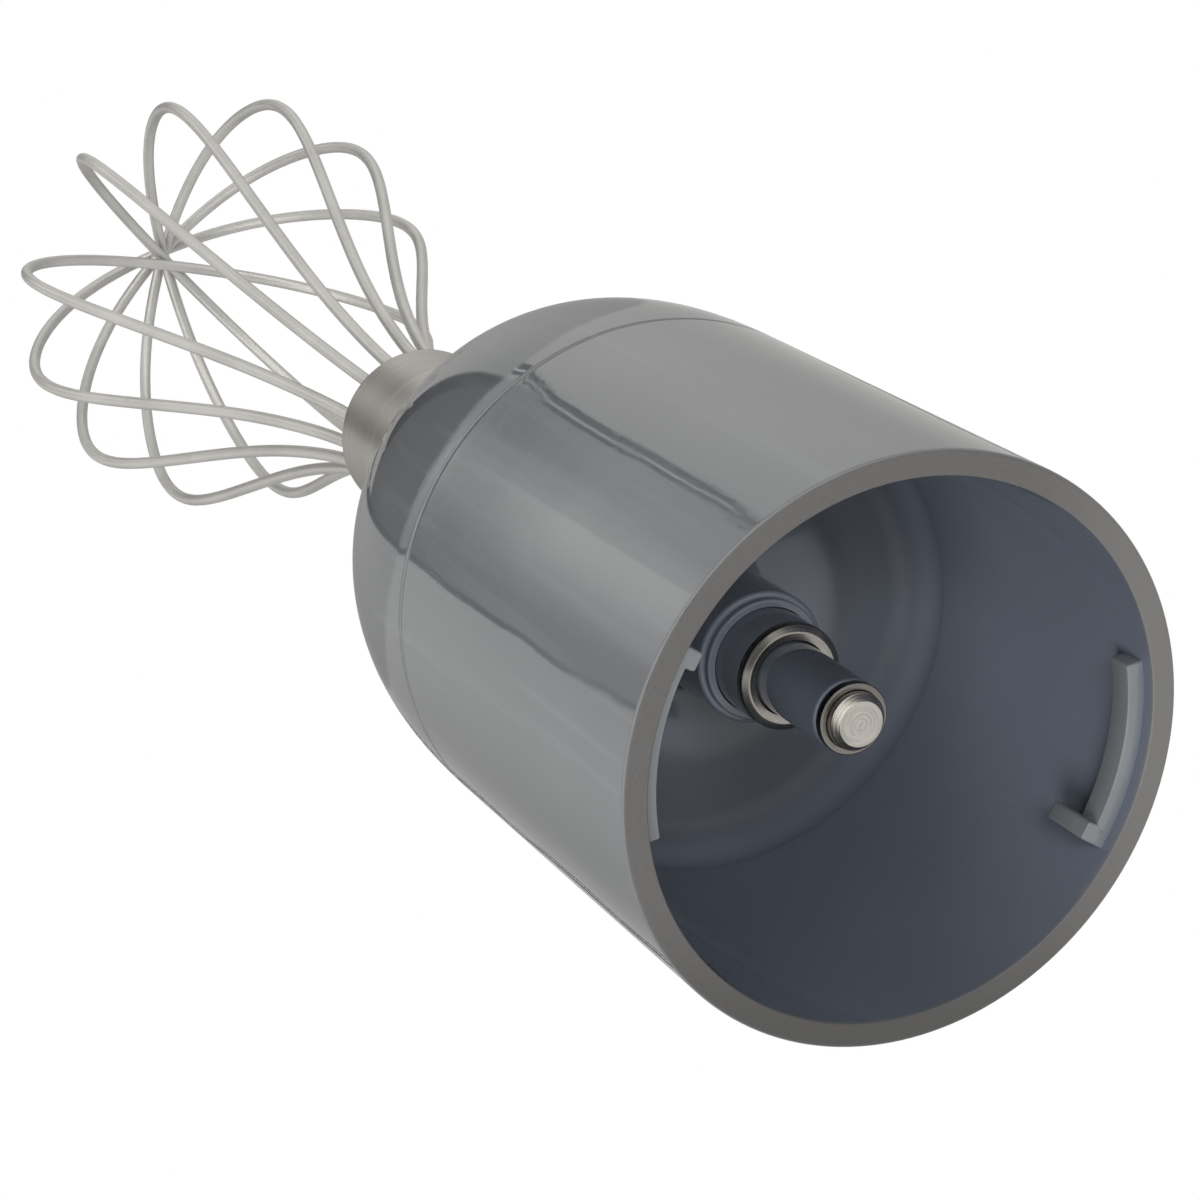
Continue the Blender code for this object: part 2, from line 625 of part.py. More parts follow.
def build_output_bearings(bronze, rubber):
    """Two bronze bushes and a lip seal in the nose's bearing tube."""
    lower = BEARING_TUBE_BASE + SEAT_GAP
    seal_top = NOSE_TOP - SEAT_GAP
    seal_base = seal_top - SEAL_HEIGHT
    upper = seal_base - SEAT_GAP - OUTPUT_BUSH_LENGTH
    for name, base in (("output_bush_lower", lower), ("output_bush_upper", upper)):
        outline = [
            (OUTPUT_BUSH_BORE, base),
            (OUTPUT_BUSH_RADIUS, base),
            (OUTPUT_BUSH_RADIUS, base + OUTPUT_BUSH_LENGTH),
            (OUTPUT_BUSH_BORE, base + OUTPUT_BUSH_LENGTH),
        ]
        turned(name, outline, bronze, base=base)
    middle = seal_base + SEAL_HEIGHT / 2
    seal = [
        (OUTPUT_BUSH_BORE + SEAL_LIP, seal_base),
        (OUTPUT_BUSH_RADIUS, seal_base),
        (OUTPUT_BUSH_RADIUS, seal_top),
        (OUTPUT_BUSH_BORE + SEAL_LIP, seal_top),
        (OUTPUT_BUSH_BORE, middle + SEAL_LIP / 2),
        (OUTPUT_BUSH_BORE, middle),
    ]
    turned("shaft_seal", seal, rubber, base=seal_base)


def build_drive_line(axis, steel, plastic):
    """The drive shaft with its coupling sleeve, sun gear, washers and clip."""
    clip_base = WASHER_BASE
    groove_low = clip_base - RUN_GAP
    groove_high = clip_base + CLIP_THICKNESS + RUN_GAP
    groove = ROD_RADIUS - CLIP_BITE
    rod_end = SHAFT_BASE - AXIAL_GAP
    tip_edge = TIP_DEPTH + TIP_BEVEL_HEIGHT
    outline = [
        (0.0, TIP_DEPTH),
        (ROD_RADIUS - TIP_BEVEL_WIDTH, TIP_DEPTH),
        (ROD_RADIUS, tip_edge),
        (ROD_RADIUS, groove_low),
        (groove, groove_low),
        (groove, groove_high),
        (ROD_RADIUS, groove_high),
        (ROD_RADIUS, rod_end),
        (PILOT_RADIUS, rod_end),
        (PILOT_RADIUS, rod_end + PILOT_LENGTH),
        (0.0, rod_end + PILOT_LENGTH),
    ]
    turned("drive_shaft", outline, steel, parent=axis, base=TIP_DEPTH)

    washer_low = TIP_DEPTH + TIP_WASHER_SETBACK
    washer_high = washer_low + TIP_WASHER_THICKNESS
    washer = [
        (ROD_BORE, washer_low),
        (ROD_BORE + TIP_WASHER_WIDTH, washer_low),
        (ROD_BORE + TIP_WASHER_WIDTH, washer_high),
        (ROD_BORE, washer_high),
    ]
    turned("tip_washer", washer, steel, parent=axis, base=washer_low)

    low = washer_high + SEAT_GAP
    high = BUSH_END - SEAT_GAP
    sleeve = [
        (ROD_BORE, low),
        (COUPLING_RADIUS - COUPLING_TAPER - COUPLING_ROUND, low),
        (COUPLING_RADIUS - COUPLING_TAPER, low + COUPLING_ROUND),
        (COUPLING_RADIUS, BUSH_DEPTH),
        (COUPLING_RADIUS, high),
        (ROD_BORE, high),
    ]
    turned("drive_coupling", sleeve, plastic, parent=axis, base=low)

    thickness = math.pi * MODULE / 2 - FLANK_GAP
    radii = (SUN_PITCH_RADIUS - DEDENDUM, SUN_PITCH_RADIUS, SUN_PITCH_RADIUS + ADDENDUM)
    teeth = gear_outline(SUN_TEETH, radii, thickness, FIRST_PLANET)
    bore = circle(ROD_BORE, SHAFT_SIDES)
    plate("sun_gear", [teeth, bore], GEAR_WIDTH, steel, (0, 0, GEAR_BASE), axis)

    outer = circle(ROD_BORE + DRIVE_WASHER_WIDTH, SHAFT_SIDES)
    washer_place = (0, 0, COVER_BACK + AXIAL_GAP)
    plate("drive_washer", [outer, bore], DRIVE_WASHER_THICKNESS, steel, washer_place, axis)

    clip = clip_outline(groove + RUN_GAP, 0.0)
    plate("drive_clip", [clip], CLIP_THICKNESS, steel, (0, 0, clip_base), axis)


def build_planets(carrier_axis, steel, plastic):
    """Three planet gears on pins in the carrier, each with a thrust washer."""
    thickness = math.pi * MODULE / 2 - FLANK_GAP
    radii = (PLANET_PITCH_RADIUS - DEDENDUM, PLANET_PITCH_RADIUS, PLANET_PITCH_RADIUS + ADDENDUM)
    hole = circle(PIN_RADIUS + SEAT_GAP, SMALL_SIDES)
    rim = circle(PIN_RADIUS + SEAT_GAP + PLANET_WASHER_WIDTH, SMALL_SIDES)
    for number in range(PLANET_COUNT):
        angle = FIRST_PLANET + TURN * number / PLANET_COUNT
        x, y = PLANET_ORBIT * math.cos(angle), PLANET_ORBIT * math.sin(angle)
        axis = make_axis(f"planet_axis_{number + 1}", (x, y, GEAR_BASE), carrier_axis)
        teeth = gear_outline(PLANET_TEETH, radii, thickness, angle)
        plate(f"planet_gear_{number + 1}", [teeth, hole], GEAR_WIDTH, plastic, (0, 0, 0), axis)
        place = (x, y, WASHER_BASE)
        plate(f"planet_washer_{number + 1}", [rim, hole], WASHER_THICKNESS, steel, place, carrier_axis)
        pin_base = GEAR_BASE + AXIAL_GAP
        length = CARRIER_TOP - AXIAL_GAP - pin_base
        pin = [circle(PIN_RADIUS, SMALL_SIDES)]
        plate(f"planet_pin_{number + 1}", pin, length, steel, (x, y, pin_base), carrier_axis)


def flatted_circle(radius, flat, sides):
    """A circle with one driving flat, cut at a distance from the centre."""
    half = math.acos(flat / radius)
    angles = [half + (TURN - 2 * half) * step / sides for step in range(sides + 1)]
    return [(radius * math.cos(a), radius * math.sin(a)) for a in angles]


def build_carrier(axis, plastic):
    """The plate that carries the planet pins and turns the output shaft."""
    edge = circle(CARRIER_RADIUS, INNER_SIDES)
    bore_radius = SHAFT_RADIUS + SEAT_GAP
    bore = flatted_circle(bore_radius, SHAFT_RADIUS - SHAFT_FLAT + SEAT_GAP, SHAFT_SIDES)
    outlines = [edge, bore]
    for number in range(PLANET_COUNT):
        angle = FIRST_PLANET + TURN * number / PLANET_COUNT
        centre = (PLANET_ORBIT * math.cos(angle), PLANET_ORBIT * math.sin(angle))
        outlines.append(circle(PIN_RADIUS + SEAT_GAP, SMALL_SIDES, centre))
    plate("planet_carrier", outlines, CARRIER_THICKNESS, plastic, (0, 0, CARRIER_BASE), axis)


def build_output_shaft(axis, steel):
    """The output shaft with its pilot bore, clip groove and driving flat."""
    groove_low = OUTPUT_CLIP_BASE - RUN_GAP
    groove_high = OUTPUT_CLIP_BASE + CLIP_THICKNESS + RUN_GAP
    groove = SHAFT_RADIUS - CLIP_BITE
    top = HUB_BASE + HUB_BORE_LENGTH - SEAT_GAP
    pilot_end = SHAFT_BASE + PILOT_LENGTH + AXIAL_GAP
    pilot_bore = PILOT_RADIUS + RUN_GAP
    outline = [
        (pilot_bore, SHAFT_BASE),
        (SHAFT_RADIUS, SHAFT_BASE),
        (SHAFT_RADIUS, groove_low),
        (groove, groove_low),
        (groove, groove_high),
        (SHAFT_RADIUS, groove_high),
        (SHAFT_RADIUS, top - SHAFT_EDGE),
        (SHAFT_RADIUS - SHAFT_EDGE, top),
        (0.0, top),
        (0.0, pilot_end),
        (pilot_bore, pilot_end),
    ]
    shaft = turned("output_shaft", outline, steel, parent=axis)
    flat = SHAFT_RADIUS - SHAFT_FLAT
    far = 2 * SHAFT_RADIUS
    block = [(flat, -far), (far, -far), (far, far), (flat, far)]
    cut = prism_mesh([block], SHAFT_BASE - CARRIER_THICKNESS, CARRIER_TOP + AXIAL_GAP)
    combine(shaft, [cut], "DIFFERENCE")

    clip = clip_outline(groove + RUN_GAP, 0.0)
    plate("output_clip", [clip], CLIP_THICKNESS, steel, (0, 0, OUTPUT_CLIP_BASE), axis)
    rings = [circle(OUTPUT_BUSH_RADIUS, SHAFT_SIDES), circle(SHAFT_RADIUS + SEAT_GAP, SHAFT_SIDES)]
    place = (0, 0, OUTPUT_WASHER_BASE)
    plate("output_washer", rings, OUTPUT_WASHER_THICKNESS, steel, place, axis)


def build_ferrule(axis, steel, plastic):
    """The drawn steel ferrule and the moulded hub in it that grips the wires."""
    inner = FERRULE_RADIUS - FERRULE_WALL
    hub_radius = inner - SEAT_GAP
    roll_centre = (FERRULE_RADIUS - FERRULE_ROLL, FERRULE_TOP - FERRULE_ROLL)
    roll = arc(roll_centre, (FERRULE_ROLL, FERRULE_ROLL), 0, 90, 4)
    shaft_hole = SHAFT_RADIUS + SEAT_GAP
    outline = [
        (shaft_hole, FERRULE_BASE),
        (FERRULE_RADIUS - FERRULE_WALL, FERRULE_BASE),
        (FERRULE_RADIUS, FERRULE_BASE + FERRULE_WALL),
        *roll,
        (inner - SEAT_GAP, FERRULE_TOP - SEAT_GAP),
        (inner, FERRULE_TOP - FERRULE_ROLL),
        (inner, FERRULE_BASE + FERRULE_WALL),
        (shaft_hole, FERRULE_BASE + FERRULE_WALL),
    ]
    turned("ferrule", outline, steel, INNER_SIDES, parent=axis, base=FERRULE_BASE)

    bore_top = HUB_BASE + HUB_BORE_LENGTH
    hub_outline = [
        (shaft_hole, HUB_BASE),
        (hub_radius, HUB_BASE),
        (hub_radius, HUB_TOP - FERRULE_ROLL),
        (hub_radius - FERRULE_ROLL, HUB_TOP),
        (0.0, HUB_TOP),
        (0.0, bore_top),
        (shaft_hole, bore_top),
    ]
    hub = turned("whisk_hub", hub_outline, plastic, INNER_SIDES, parent=axis)
    hole = WIRE_RADIUS + SEAT_GAP
    depth = HUB_TOP - WIRE_GRIP - SEAT_GAP
    holes = []
    for number in range(LOOP_COUNT):
        for side in (0, 1):
            angle = loop_angle(number) + side * math.pi
            centre = (WIRE_PITCH_RADIUS * math.cos(angle), WIRE_PITCH_RADIUS * math.sin(angle))
            holes.append(prism_mesh([circle(hole, WIRE_SIDES, centre)], depth, FERRULE_TOP))
    combine(hub, holes, "DIFFERENCE")


def loop_angle(number):
    """Direction of a wire loop's plane, with the small error of its hand bending."""
    stray = LOOP_STRAY[number % len(LOOP_STRAY)]
    return LOOP_START - math.pi * number / LOOP_COUNT + stray


def loop_path(number):
    """Centre line of one wire loop as (radius, height), from one end in the hub to the other."""
    crown = HUB_TOP + WHISK_REACH - number * (2 * WIRE_RADIUS + SEAT_GAP)
    control = [
        (WIRE_PITCH_RADIUS, HUB_TOP),
        (WIRE_PITCH_RADIUS, HUB_TOP + WIRE_STRAIGHT),
        (FLARE_RADIUS, HUB_TOP + FLARE_HEIGHT),
        (BELLY_RADIUS, HUB_TOP + BELLY_HEIGHT),
        (SHOULDER_RADIUS, HUB_TOP + SHOULDER_HEIGHT),
        (CROWN_RADIUS, crown),
        (0.0, crown),
    ]
    half = [(WIRE_PITCH_RADIUS, HUB_TOP - WIRE_GRIP), *bspline(control, WIRE_STEPS)]
    return half + [(-radius, height) for radius, height in reversed(half[:-1])]


def tube_mesh(path, radius, sides):
    """A round wire along a path in the XZ plane, with flat ends."""
    vertices, faces = [], []
    for index, (across, up) in enumerate(path):
        before = path[max(index - 1, 0)]
        after = path[min(index + 1, len(path) - 1)]
        along = Vector((after[0] - before[0], 0, after[1] - before[1])).normalized()
        side_way = Vector((0, 1, 0))
        out = along.cross(side_way)
        for x, y in circle(radius, sides, start=math.pi / sides):
            vertices.append(Vector((across, 0, up)) + out * x + side_way * y)
    for index in range(len(path) - 1):
        for side in range(sides):
            a = index * sides + side
            b = index * sides + (side + 1) % sides
            faces.append((a, a + sides, b + sides, b))
    faces.append(tuple(range(sides)))
    faces.append(tuple(reversed(range(len(vertices) - sides, len(vertices)))))
    return vertices, faces


def build_wires(axis, steel):
    """Six wire loops that cross each other at the crown, one under the other."""
    for number in range(LOOP_COUNT):
        vertices, faces = tube_mesh(loop_path(number), WIRE_RADIUS, WIRE_SIDES)
        wire = make_object(f"wire_loop_{number + 1}", vertices, faces, steel, parent=axis, sharp=60)
        wire.rotation_euler = (0, 0, loop_angle(number))


def main():
    for old in list(bpy.data.objects):
        bpy.data.objects.remove(old, do_unlink=True)
    collar_grey = make_material("collar_grey_plastic", (0.262, 0.266, 0.274), 0.24)
    cover_grey = make_material("cover_dark_plastic", (0.075, 0.085, 0.105), 0.22)
    gear_white = make_material("gear_natural_plastic", (0.62, 0.60, 0.54), 0.5)
    shaft_steel = make_material("turned_steel", (0.60, 0.57, 0.53), 0.28, 1.0)
    ferrule_steel = make_material("brushed_steel", (0.45, 0.43, 0.40), 0.36, 1.0)
    wire_steel = make_material("wire_steel", (0.62, 0.60, 0.57), 0.32, 1.0)
    bronze = make_material("sintered_bronze", (0.42, 0.26, 0.12), 0.45, 1.0)
    rubber = make_material("seal_rubber", (0.02, 0.02, 0.022), 0.7)

    build_collar(collar_grey)
    build_nose(collar_grey)
    build_cover(cover_grey)
    build_input_bush(shaft_steel)
    build_ring_gear(gear_white, shaft_steel)
    build_output_bearings(bronze, rubber)
    drive_axis = make_axis("drive_axis", (0, 0, 0))
    build_drive_line(drive_axis, shaft_steel, cover_grey)
    whisk_axis = make_axis("whisk_axis", (0, 0, 0))
    build_carrier(whisk_axis, gear_white)
    build_planets(whisk_axis, shaft_steel, gear_white)
    build_output_shaft(whisk_axis, shaft_steel)
    build_ferrule(whisk_axis, ferrule_steel, cover_grey)
    build_wires(whisk_axis, wire_steel)


main()
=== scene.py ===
"""Dresses the stick blender's whisk attachment: collar, nose, drive line, ferrule and wires.

The packed model is the frame. Every visible piece is a finer mesh in the place of its node,
and each node that stays gets the finish of what it is made of.
"""
import json
from math import acos, cos, pi, radians, sin, tan

import bpy
from bpy.props import FloatProperty, FloatVectorProperty, IntProperty, PointerProperty
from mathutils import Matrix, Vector


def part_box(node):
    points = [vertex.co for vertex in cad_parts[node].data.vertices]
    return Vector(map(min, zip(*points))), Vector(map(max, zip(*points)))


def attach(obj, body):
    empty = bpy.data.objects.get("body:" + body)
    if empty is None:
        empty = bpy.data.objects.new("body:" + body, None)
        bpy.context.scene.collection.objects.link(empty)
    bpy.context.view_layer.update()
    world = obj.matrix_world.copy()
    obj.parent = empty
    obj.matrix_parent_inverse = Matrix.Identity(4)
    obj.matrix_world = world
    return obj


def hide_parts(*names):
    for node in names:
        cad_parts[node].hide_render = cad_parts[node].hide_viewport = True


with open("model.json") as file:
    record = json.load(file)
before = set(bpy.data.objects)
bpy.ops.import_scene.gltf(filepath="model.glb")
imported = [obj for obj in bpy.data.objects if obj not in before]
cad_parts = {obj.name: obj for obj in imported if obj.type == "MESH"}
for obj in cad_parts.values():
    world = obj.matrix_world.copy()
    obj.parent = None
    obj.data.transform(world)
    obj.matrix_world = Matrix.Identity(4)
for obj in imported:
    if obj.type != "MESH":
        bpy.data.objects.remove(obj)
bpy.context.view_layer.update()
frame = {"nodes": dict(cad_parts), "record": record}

bl_info = {
    "name": "Whisk attachment studio",
    "version": (1, 0, 0),
    "blender": (4, 5, 0),
    "location": "3D View > Sidebar > Whisk",
    "description": "Builds a stick blender's whisk attachment and the stage that it stands on",
    "category": "Object",
}

MM = 0.001
TURN = 2 * pi
COLLAR_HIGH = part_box("collar_shell")[1]
NOSE_LOW, NOSE_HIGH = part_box("nose_cap")
BUSH_LOW, BUSH_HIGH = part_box("input_bush")
ROD_LOW, ROD_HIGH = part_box("drive_shaft")
RING_LOW, RING_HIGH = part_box("tip_washer")
SLEEVE_LOW, SLEEVE_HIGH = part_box("drive_coupling")
FERRULE_LOW, FERRULE_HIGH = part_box("ferrule")
HUB_LOW, HUB_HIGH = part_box("whisk_hub")
LOWER_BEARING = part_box("output_bush_lower")
UPPER_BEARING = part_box("output_bush_upper")
SCREWS = [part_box(f"ring_gear_screw_{number}") for number in (1, 2, 3)]
GEAR_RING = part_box("ring_gear")

# Fineness of the meshes
BODY_SIDES = 160
SMALL_SIDES = 96
WIRE_SIDES = 14
FLOOR_SIDES = 64
POST_SIDES = 32
HOLE_SIDES = 24
WIRE_STEPS = 72
DOME_STEPS = 56
DOME_INSIDE_STEPS = 20
BOWL_STEPS = 24
STOP_STEPS = 4
FLAT_MARGIN = 1.25              # how far a rounding's support point lies from the corner
SHARP_ANGLE = radians(32)
WIRE_SHARP_ANGLE = radians(60)

# Fits and inner shapes that follow the solids
SHELF_DEPTH = 46.6 * MM         # from the rim to the shelf under the gear cover
SPIGOT_BORE = 26.37 * MM        # of the collar's recess for the nose's spigot
NOSE_BORE = 24.67 * MM
BEARING_BORE = 6.25 * MM
BEARING_WALL = 3.2 * MM
LAND_WIDTH = 1.0 * MM           # of the land between the output bushes
PILLAR_RADIUS = 3.0 * MM        # the pillars take the ring gear's screws
PILLAR_TOP = 76.1 * MM
SCREW_BORE = 1.5 * MM
SCREW_DEPTH = 10.6 * MM
COVER_BACK = 47.4 * MM          # from the rim to the back of the gear cover
FIXED_GAP = 0.3 * MM            # between pieces that are fixed to each other
BUSH_GAP = 0.08 * MM            # round the bush and in it
LIP_GAP = 0.005 * MM            # between the gear cover's lip and the wall
SEAM_GAP = 0.12 * MM
ROD_GAP = 0.2 * MM              # between the rod and what sits on it
HUB_BORE = 4.3 * MM
HUB_BORE_DEPTH = 20.0 * MM
WIRE_GRIP = 12.0 * MM           # how deep the wires reach into the hub
RING_GAP = 0.06 * MM            # between the rod and the ring near its tip
CLIP_GROOVE = (55.3 * MM, 56.5 * MM, 0.65 * MM)   # low, high and depth
PILOT_RADIUS = 2.0 * MM         # of the rod's upper end, which runs in the output shaft
PILOT_LENGTH = 5.3 * MM
COVER_WALL = 2.4 * MM
BOSS_STEP = (0.6 * MM, 0.8 * MM)                  # across and along
BUSH_CHAMFER = (0.75 * MM, 0.5 * MM)              # across and along
BUSH_FACE = 1.3 * MM            # how far the bush's steel shows before the plastic covers it
SLEEVE_TAPER = 0.12 * MM
TIP_CHAMFER = 0.8 * MM
LUG_EDGE = 0.28 * MM
RUB_RIB = (12.3 * MM, 14.7 * MM, 1.0 * MM)        # under the planets: radii and height
BACK_SLOPE = (17.5 * MM, 43.6 * MM)               # the radius it starts at, the height it ends at
FLANGE_LOW, FLANGE_STEP, FLANGE_HIGH = 46.9 * MM, 48.4 * MM, 49.2 * MM

# Camera and floor
SENSOR_WIDTH = 36.0             # millimetres
CLIP_START, CLIP_END = 0.01, 20.0
FLOOR_LEVEL = -0.1 * MM

# The tent that glossy surfaces mirror. Places on it: (east, north), where 1 is the horizon
TENT_RADIUS = 6.0
COLLAR_ZONE = (0.438, 0.450)    # the dome mirrors what is nearer to straight up, the collar the rest
TENT_WHITE = (1.0, 0.985, 0.955)
WINDOW_LEFT = ((-0.19, -0.02), (-0.37, -0.33))
WINDOW_RIGHT = ((0.29, -0.33), (0.05, 0.0))
WINDOW_TOP = ((-0.19, -0.02), (-0.065, 0.03))
WINDOW_POST = ((0.022, -0.459), (0.043, -0.530))
SHUTTER_LEFT = ((0.05, 0.0), (0.29, -0.33))
SHUTTER_RIGHT = ((0.02, -0.12), (0.25, -0.37))
SHUTTER_TOP = ((-0.065, 0.03), (-0.02, 0.065))
SHUTTER_SLIT = ((0.17, -0.24), (0.25, -0.36))
BAR = ((0.332, -0.340), (0.370, -0.398))

# Name, place, height of the point it looks at, width and power of each lamp
LAMPS = (
    ("key_lamp", (-0.45, -0.75, 0.95), 0.08, 0.7, 4.5),
    ("fill_lamp", (0.95, -0.35, 0.55), 0.08, 0.8, 3.5),
    ("back_lamp", (-0.2, 0.95, 0.75), 0.08, 0.7, 2.5),
    ("mouth_lamp", (-0.55, -0.3, -0.65), 0.02, 0.45, 10.0),
    ("front_lamp", (0.18, -0.42, -0.8), 0.03, 0.4, 9.0),
)

# Where the wires run: (radius, height above the hub) of the points that shape a loop
WIRE_OUTLINE = ((7.0, 0.0), (7.0, 6.5), (11.2, 29.5), (26.8, 60.2), (32.1, 83.4))
WIRE_STRAY = (-3.0, 0.5, 3.0, 2.5, 4.0, -3.5)      # degrees, for each of the six loops
WIRE_STACKING = 1.7 * MM


# Settings


def length(name, description, default):
    """A length, given in millimetres."""
    return FloatProperty(name=name, description=description, default=default * MM, unit="LENGTH")


def degrees(name, description, default):
    """An angle, given in degrees."""
    default = radians(default)
    return FloatProperty(name=name, description=description, default=default, subtype="ANGLE")


def tint(name, description, default):
    """A colour."""
    return FloatVectorProperty(
        name=name, description=description, default=default, size=3, subtype="COLOR", min=0, max=1)


class CollarSettings(bpy.types.PropertyGroup):
    """Sizes of the collar, its mouth and its bayonet lugs."""

    rim_radius: length("Rim radius", "Outside radius of the collar", COLLAR_HIGH.x / MM)
    mouth_radius: length("Mouth radius", "Inside radius at the rim", 26.5)
    shelf_radius: length("Shelf radius", "Inside radius at the bottom of the cavity", 25.4)
    seam_height: length("Seam height", "From the rim to the seam with the nose", COLLAR_HIGH.z / MM)
    edge: length("Edge", "Rounding of the rim and of the seam", 0.42)
    lug_start: degrees("Lug start", "Where the first lug begins round the mouth", 42)
    lug_sweep: degrees("Lug sweep", "How far a lug reaches round the mouth", 42)
    lug_setback: length("Lug setback", "From the rim to a lug", 1.6)
    lug_height: length("Lug height", "Height of a lug along the wall", 3.0)
    lug_depth: length("Lug depth", "How far a lug stands off the wall", 1.7)
    stop_sweep: degrees("Stop sweep", "Width of the stop at a lug's end", 4.5)
    stop_height: length("Stop height", "Height of the stop along the wall", 6.2)
    stop_depth: length("Stop depth", "How far the stop stands off the wall", 2.7)


class NoseSettings(bpy.types.PropertyGroup):
    """Sizes of the domed nose."""

    roundness: FloatProperty(
        name="Roundness", description="Exponent of the dome's outline, where 2 is an ellipse",
        default=2.7, min=2.0, max=6.0)
    face_radius: length("Face radius", "Radius of the nose's flat end", 8.5)
    wall: length("Wall", "Thickness of the dome", 2.4)


class DriveSettings(bpy.types.PropertyGroup):
    """Sizes of the cavity's floor and of the drive line in it."""

    lip_height: length("Lip height", "From the rim to the lip of the gear cover", 37.0)
    floor_round: length("Floor rounding", "Radius between the cavity's wall and its floor", 5.0)
    floor_dish: degrees("Floor dish", "How steeply the floor falls toward the boss", 10.8)
    boss_radius: length("Boss radius", "Radius of the boss round the bush", 6.9)
    boss_height: length("Boss height", "From the rim to the boss's shoulder", 29.2)
    rod_radius: length("Rod radius", "Radius of the steel drive shaft", ROD_HIGH.x / MM)
    tip_radius: length("Tip radius", "Radius of the drive shaft's end face", 2.26)
    turning_depth: length("Turning depth", "Depth of the turning marks on the end face", 0.03)


class WhiskSettings(bpy.types.PropertyGroup):
    """Sizes of the ferrule and of the wire loops."""

    loops: IntProperty(
        name="Loops", description="How many wire loops the whisk has",
        default=6, min=1, max=6)
    wire_radius: length("Wire radius", "Radius of the steel wire", 0.79)
    reach: length("Reach", "From the hub to the crown of the outermost loop", 108.6)
    crown_radius: length("Crown radius", "Width of the flat crown of a loop", 14.4)
    first_loop: degrees("First loop", "Direction of the first loop's plane", 37.6)
    ferrule_wall: length("Ferrule wall", "Thickness of the ferrule", 0.8)
    ferrule_roll: length("Ferrule roll", "Rounding of the ferrule's open end", 0.9)


class FinishSettings(bpy.types.PropertyGroup):
    """Colours of the materials."""

    collar: tint("Collar grey", "Moulded plastic of the collar and the nose", (0.090, 0.095, 0.101))
    # This colour is also painted on the collar's inner wall as painted shade
    cavity: tint("Cavity grey", "Dark plastic inside the mouth", (0.075, 0.085, 0.106))
    rim: tint("Rim", "Sawn and scuffed plastic of the rim's flat", (0.052, 0.0505, 0.048))
    steel: tint("Turned steel", "Shaft, bush, screws and washers", (0.46, 0.435, 0.40))
    ferrule: tint("Brushed steel", "Ferrule", (0.31, 0.301, 0.281))
    wire: tint("Wire steel", "Wire loops", (0.41, 0.403, 0.385))
    gear: tint("Gear plastic", "Natural plastic of the gears", (0.62, 0.60, 0.54))
    bronze: tint("Bronze", "Sintered bushes of the output shaft", (0.42, 0.26, 0.12))
    rubber: tint("Rubber", "Lip seal", (0.02, 0.02, 0.022))


class StageSettings(bpy.types.PropertyGroup):
    """Camera, floor and ambient light."""

    camera_place: FloatVectorProperty(
        name="Camera place", description="Where the camera stands, below and in front of the mouth",
        default=(0.0, -0.177829, -0.236377), size=3, subtype="TRANSLATION")
    camera_turn: FloatVectorProperty(
        name="Camera turn", description="The camera's rotation",
        default=[radians(a) for a in (160.79401, 24.71633, 52.44347)], size=3, subtype="EULER")
    camera_lens: FloatProperty(
        name="Focal length", description="In millimetres, for a sensor 36 mm wide",
        default=96.589)
    camera_shift: FloatVectorProperty(
        name="Camera shift", description="Shift of the picture, right and up, as a share of its width",
        default=(0.00862, 0.01779), size=2)
    floor_radius: length("Floor radius", "How far the floor reaches before it has faded out", 2200)
    floor_colour: tint("Floor colour", "Colour of the pale floor", (0.80, 0.80, 0.80))
    sky: FloatProperty(
        name="Ambient light", description="Strength of the white surroundings as a light",
        default=0.45, min=0.0)


GROUPS = {
    "collar_sizes": CollarSettings,
    "nose_sizes": NoseSettings,
    "drive_sizes": DriveSettings,
    "whisk_sizes": WhiskSettings,
    "finishes": FinishSettings,
    "stage_sizes": StageSettings,
}


# Node trees


def join(tree, value, socket):
    """Give a socket a link or a constant."""
    if isinstance(value, Field):
        tree.links.new(value.socket, socket)
    elif socket.type == "RGBA":
        socket.default_value = (*value, 1.0)
    else:
        socket.default_value = value


class Field:
    """A value in a node tree, on which Python's operators add Math nodes."""

    def __init__(self, tree, socket):
        self.tree = tree
        self.socket = socket

    def maths(self, operation, first, second):
        node = self.tree.nodes.new("ShaderNodeMath")
        node.operation = operation
        join(self.tree, first, node.inputs[0])
        join(self.tree, second, node.inputs[1])
        return Field(self.tree, node.outputs[0])

    def __add__(self, other):
        return self.maths("ADD", self, other)

    def __sub__(self, other):
        return self.maths("SUBTRACT", self, other)

    def __rsub__(self, other):
        return self.maths("SUBTRACT", other, self)

    def __mul__(self, other):
        return self.maths("MULTIPLY", self, other)

    def __pow__(self, other):
        return self.maths("POWER", self, other)

    __radd__ = __add__
    __rmul__ = __mul__


class Shader:
    """A node tree under construction."""

    def __init__(self, tree):
        self.tree = tree
        tree.nodes.clear()

    def node(self, kind, settings=None, inputs=None, output=0):
        """Add a node: its settings first, then its sockets. Returns one of its outputs."""
        node = self.tree.nodes.new(kind)
        for name, value in (settings or {}).items():
            setattr(node, name, value)
        for name, value in (inputs or {}).items():
            if value is not None:
                join(self.tree, value, node.inputs[name])
        return Field(self.tree, node.outputs[output]) if node.outputs else node

    def mix(self, factor, low, high):
        """A colour between two others."""
        return self.node("ShaderNodeMix", {"data_type": "RGBA"}, {0: factor, 6: low, 7: high}, 2)

    def grade(self, value, start, end, low=0.0, high=1.0):
        """Ease from low to high as a value goes from start to end."""
        limits = {"Value": value, "From Min": start, "From Max": end, "To Min": low, "To Max": high}
        return self.node("ShaderNodeMapRange", {"interpolation_type": "SMOOTHSTEP"}, limits)


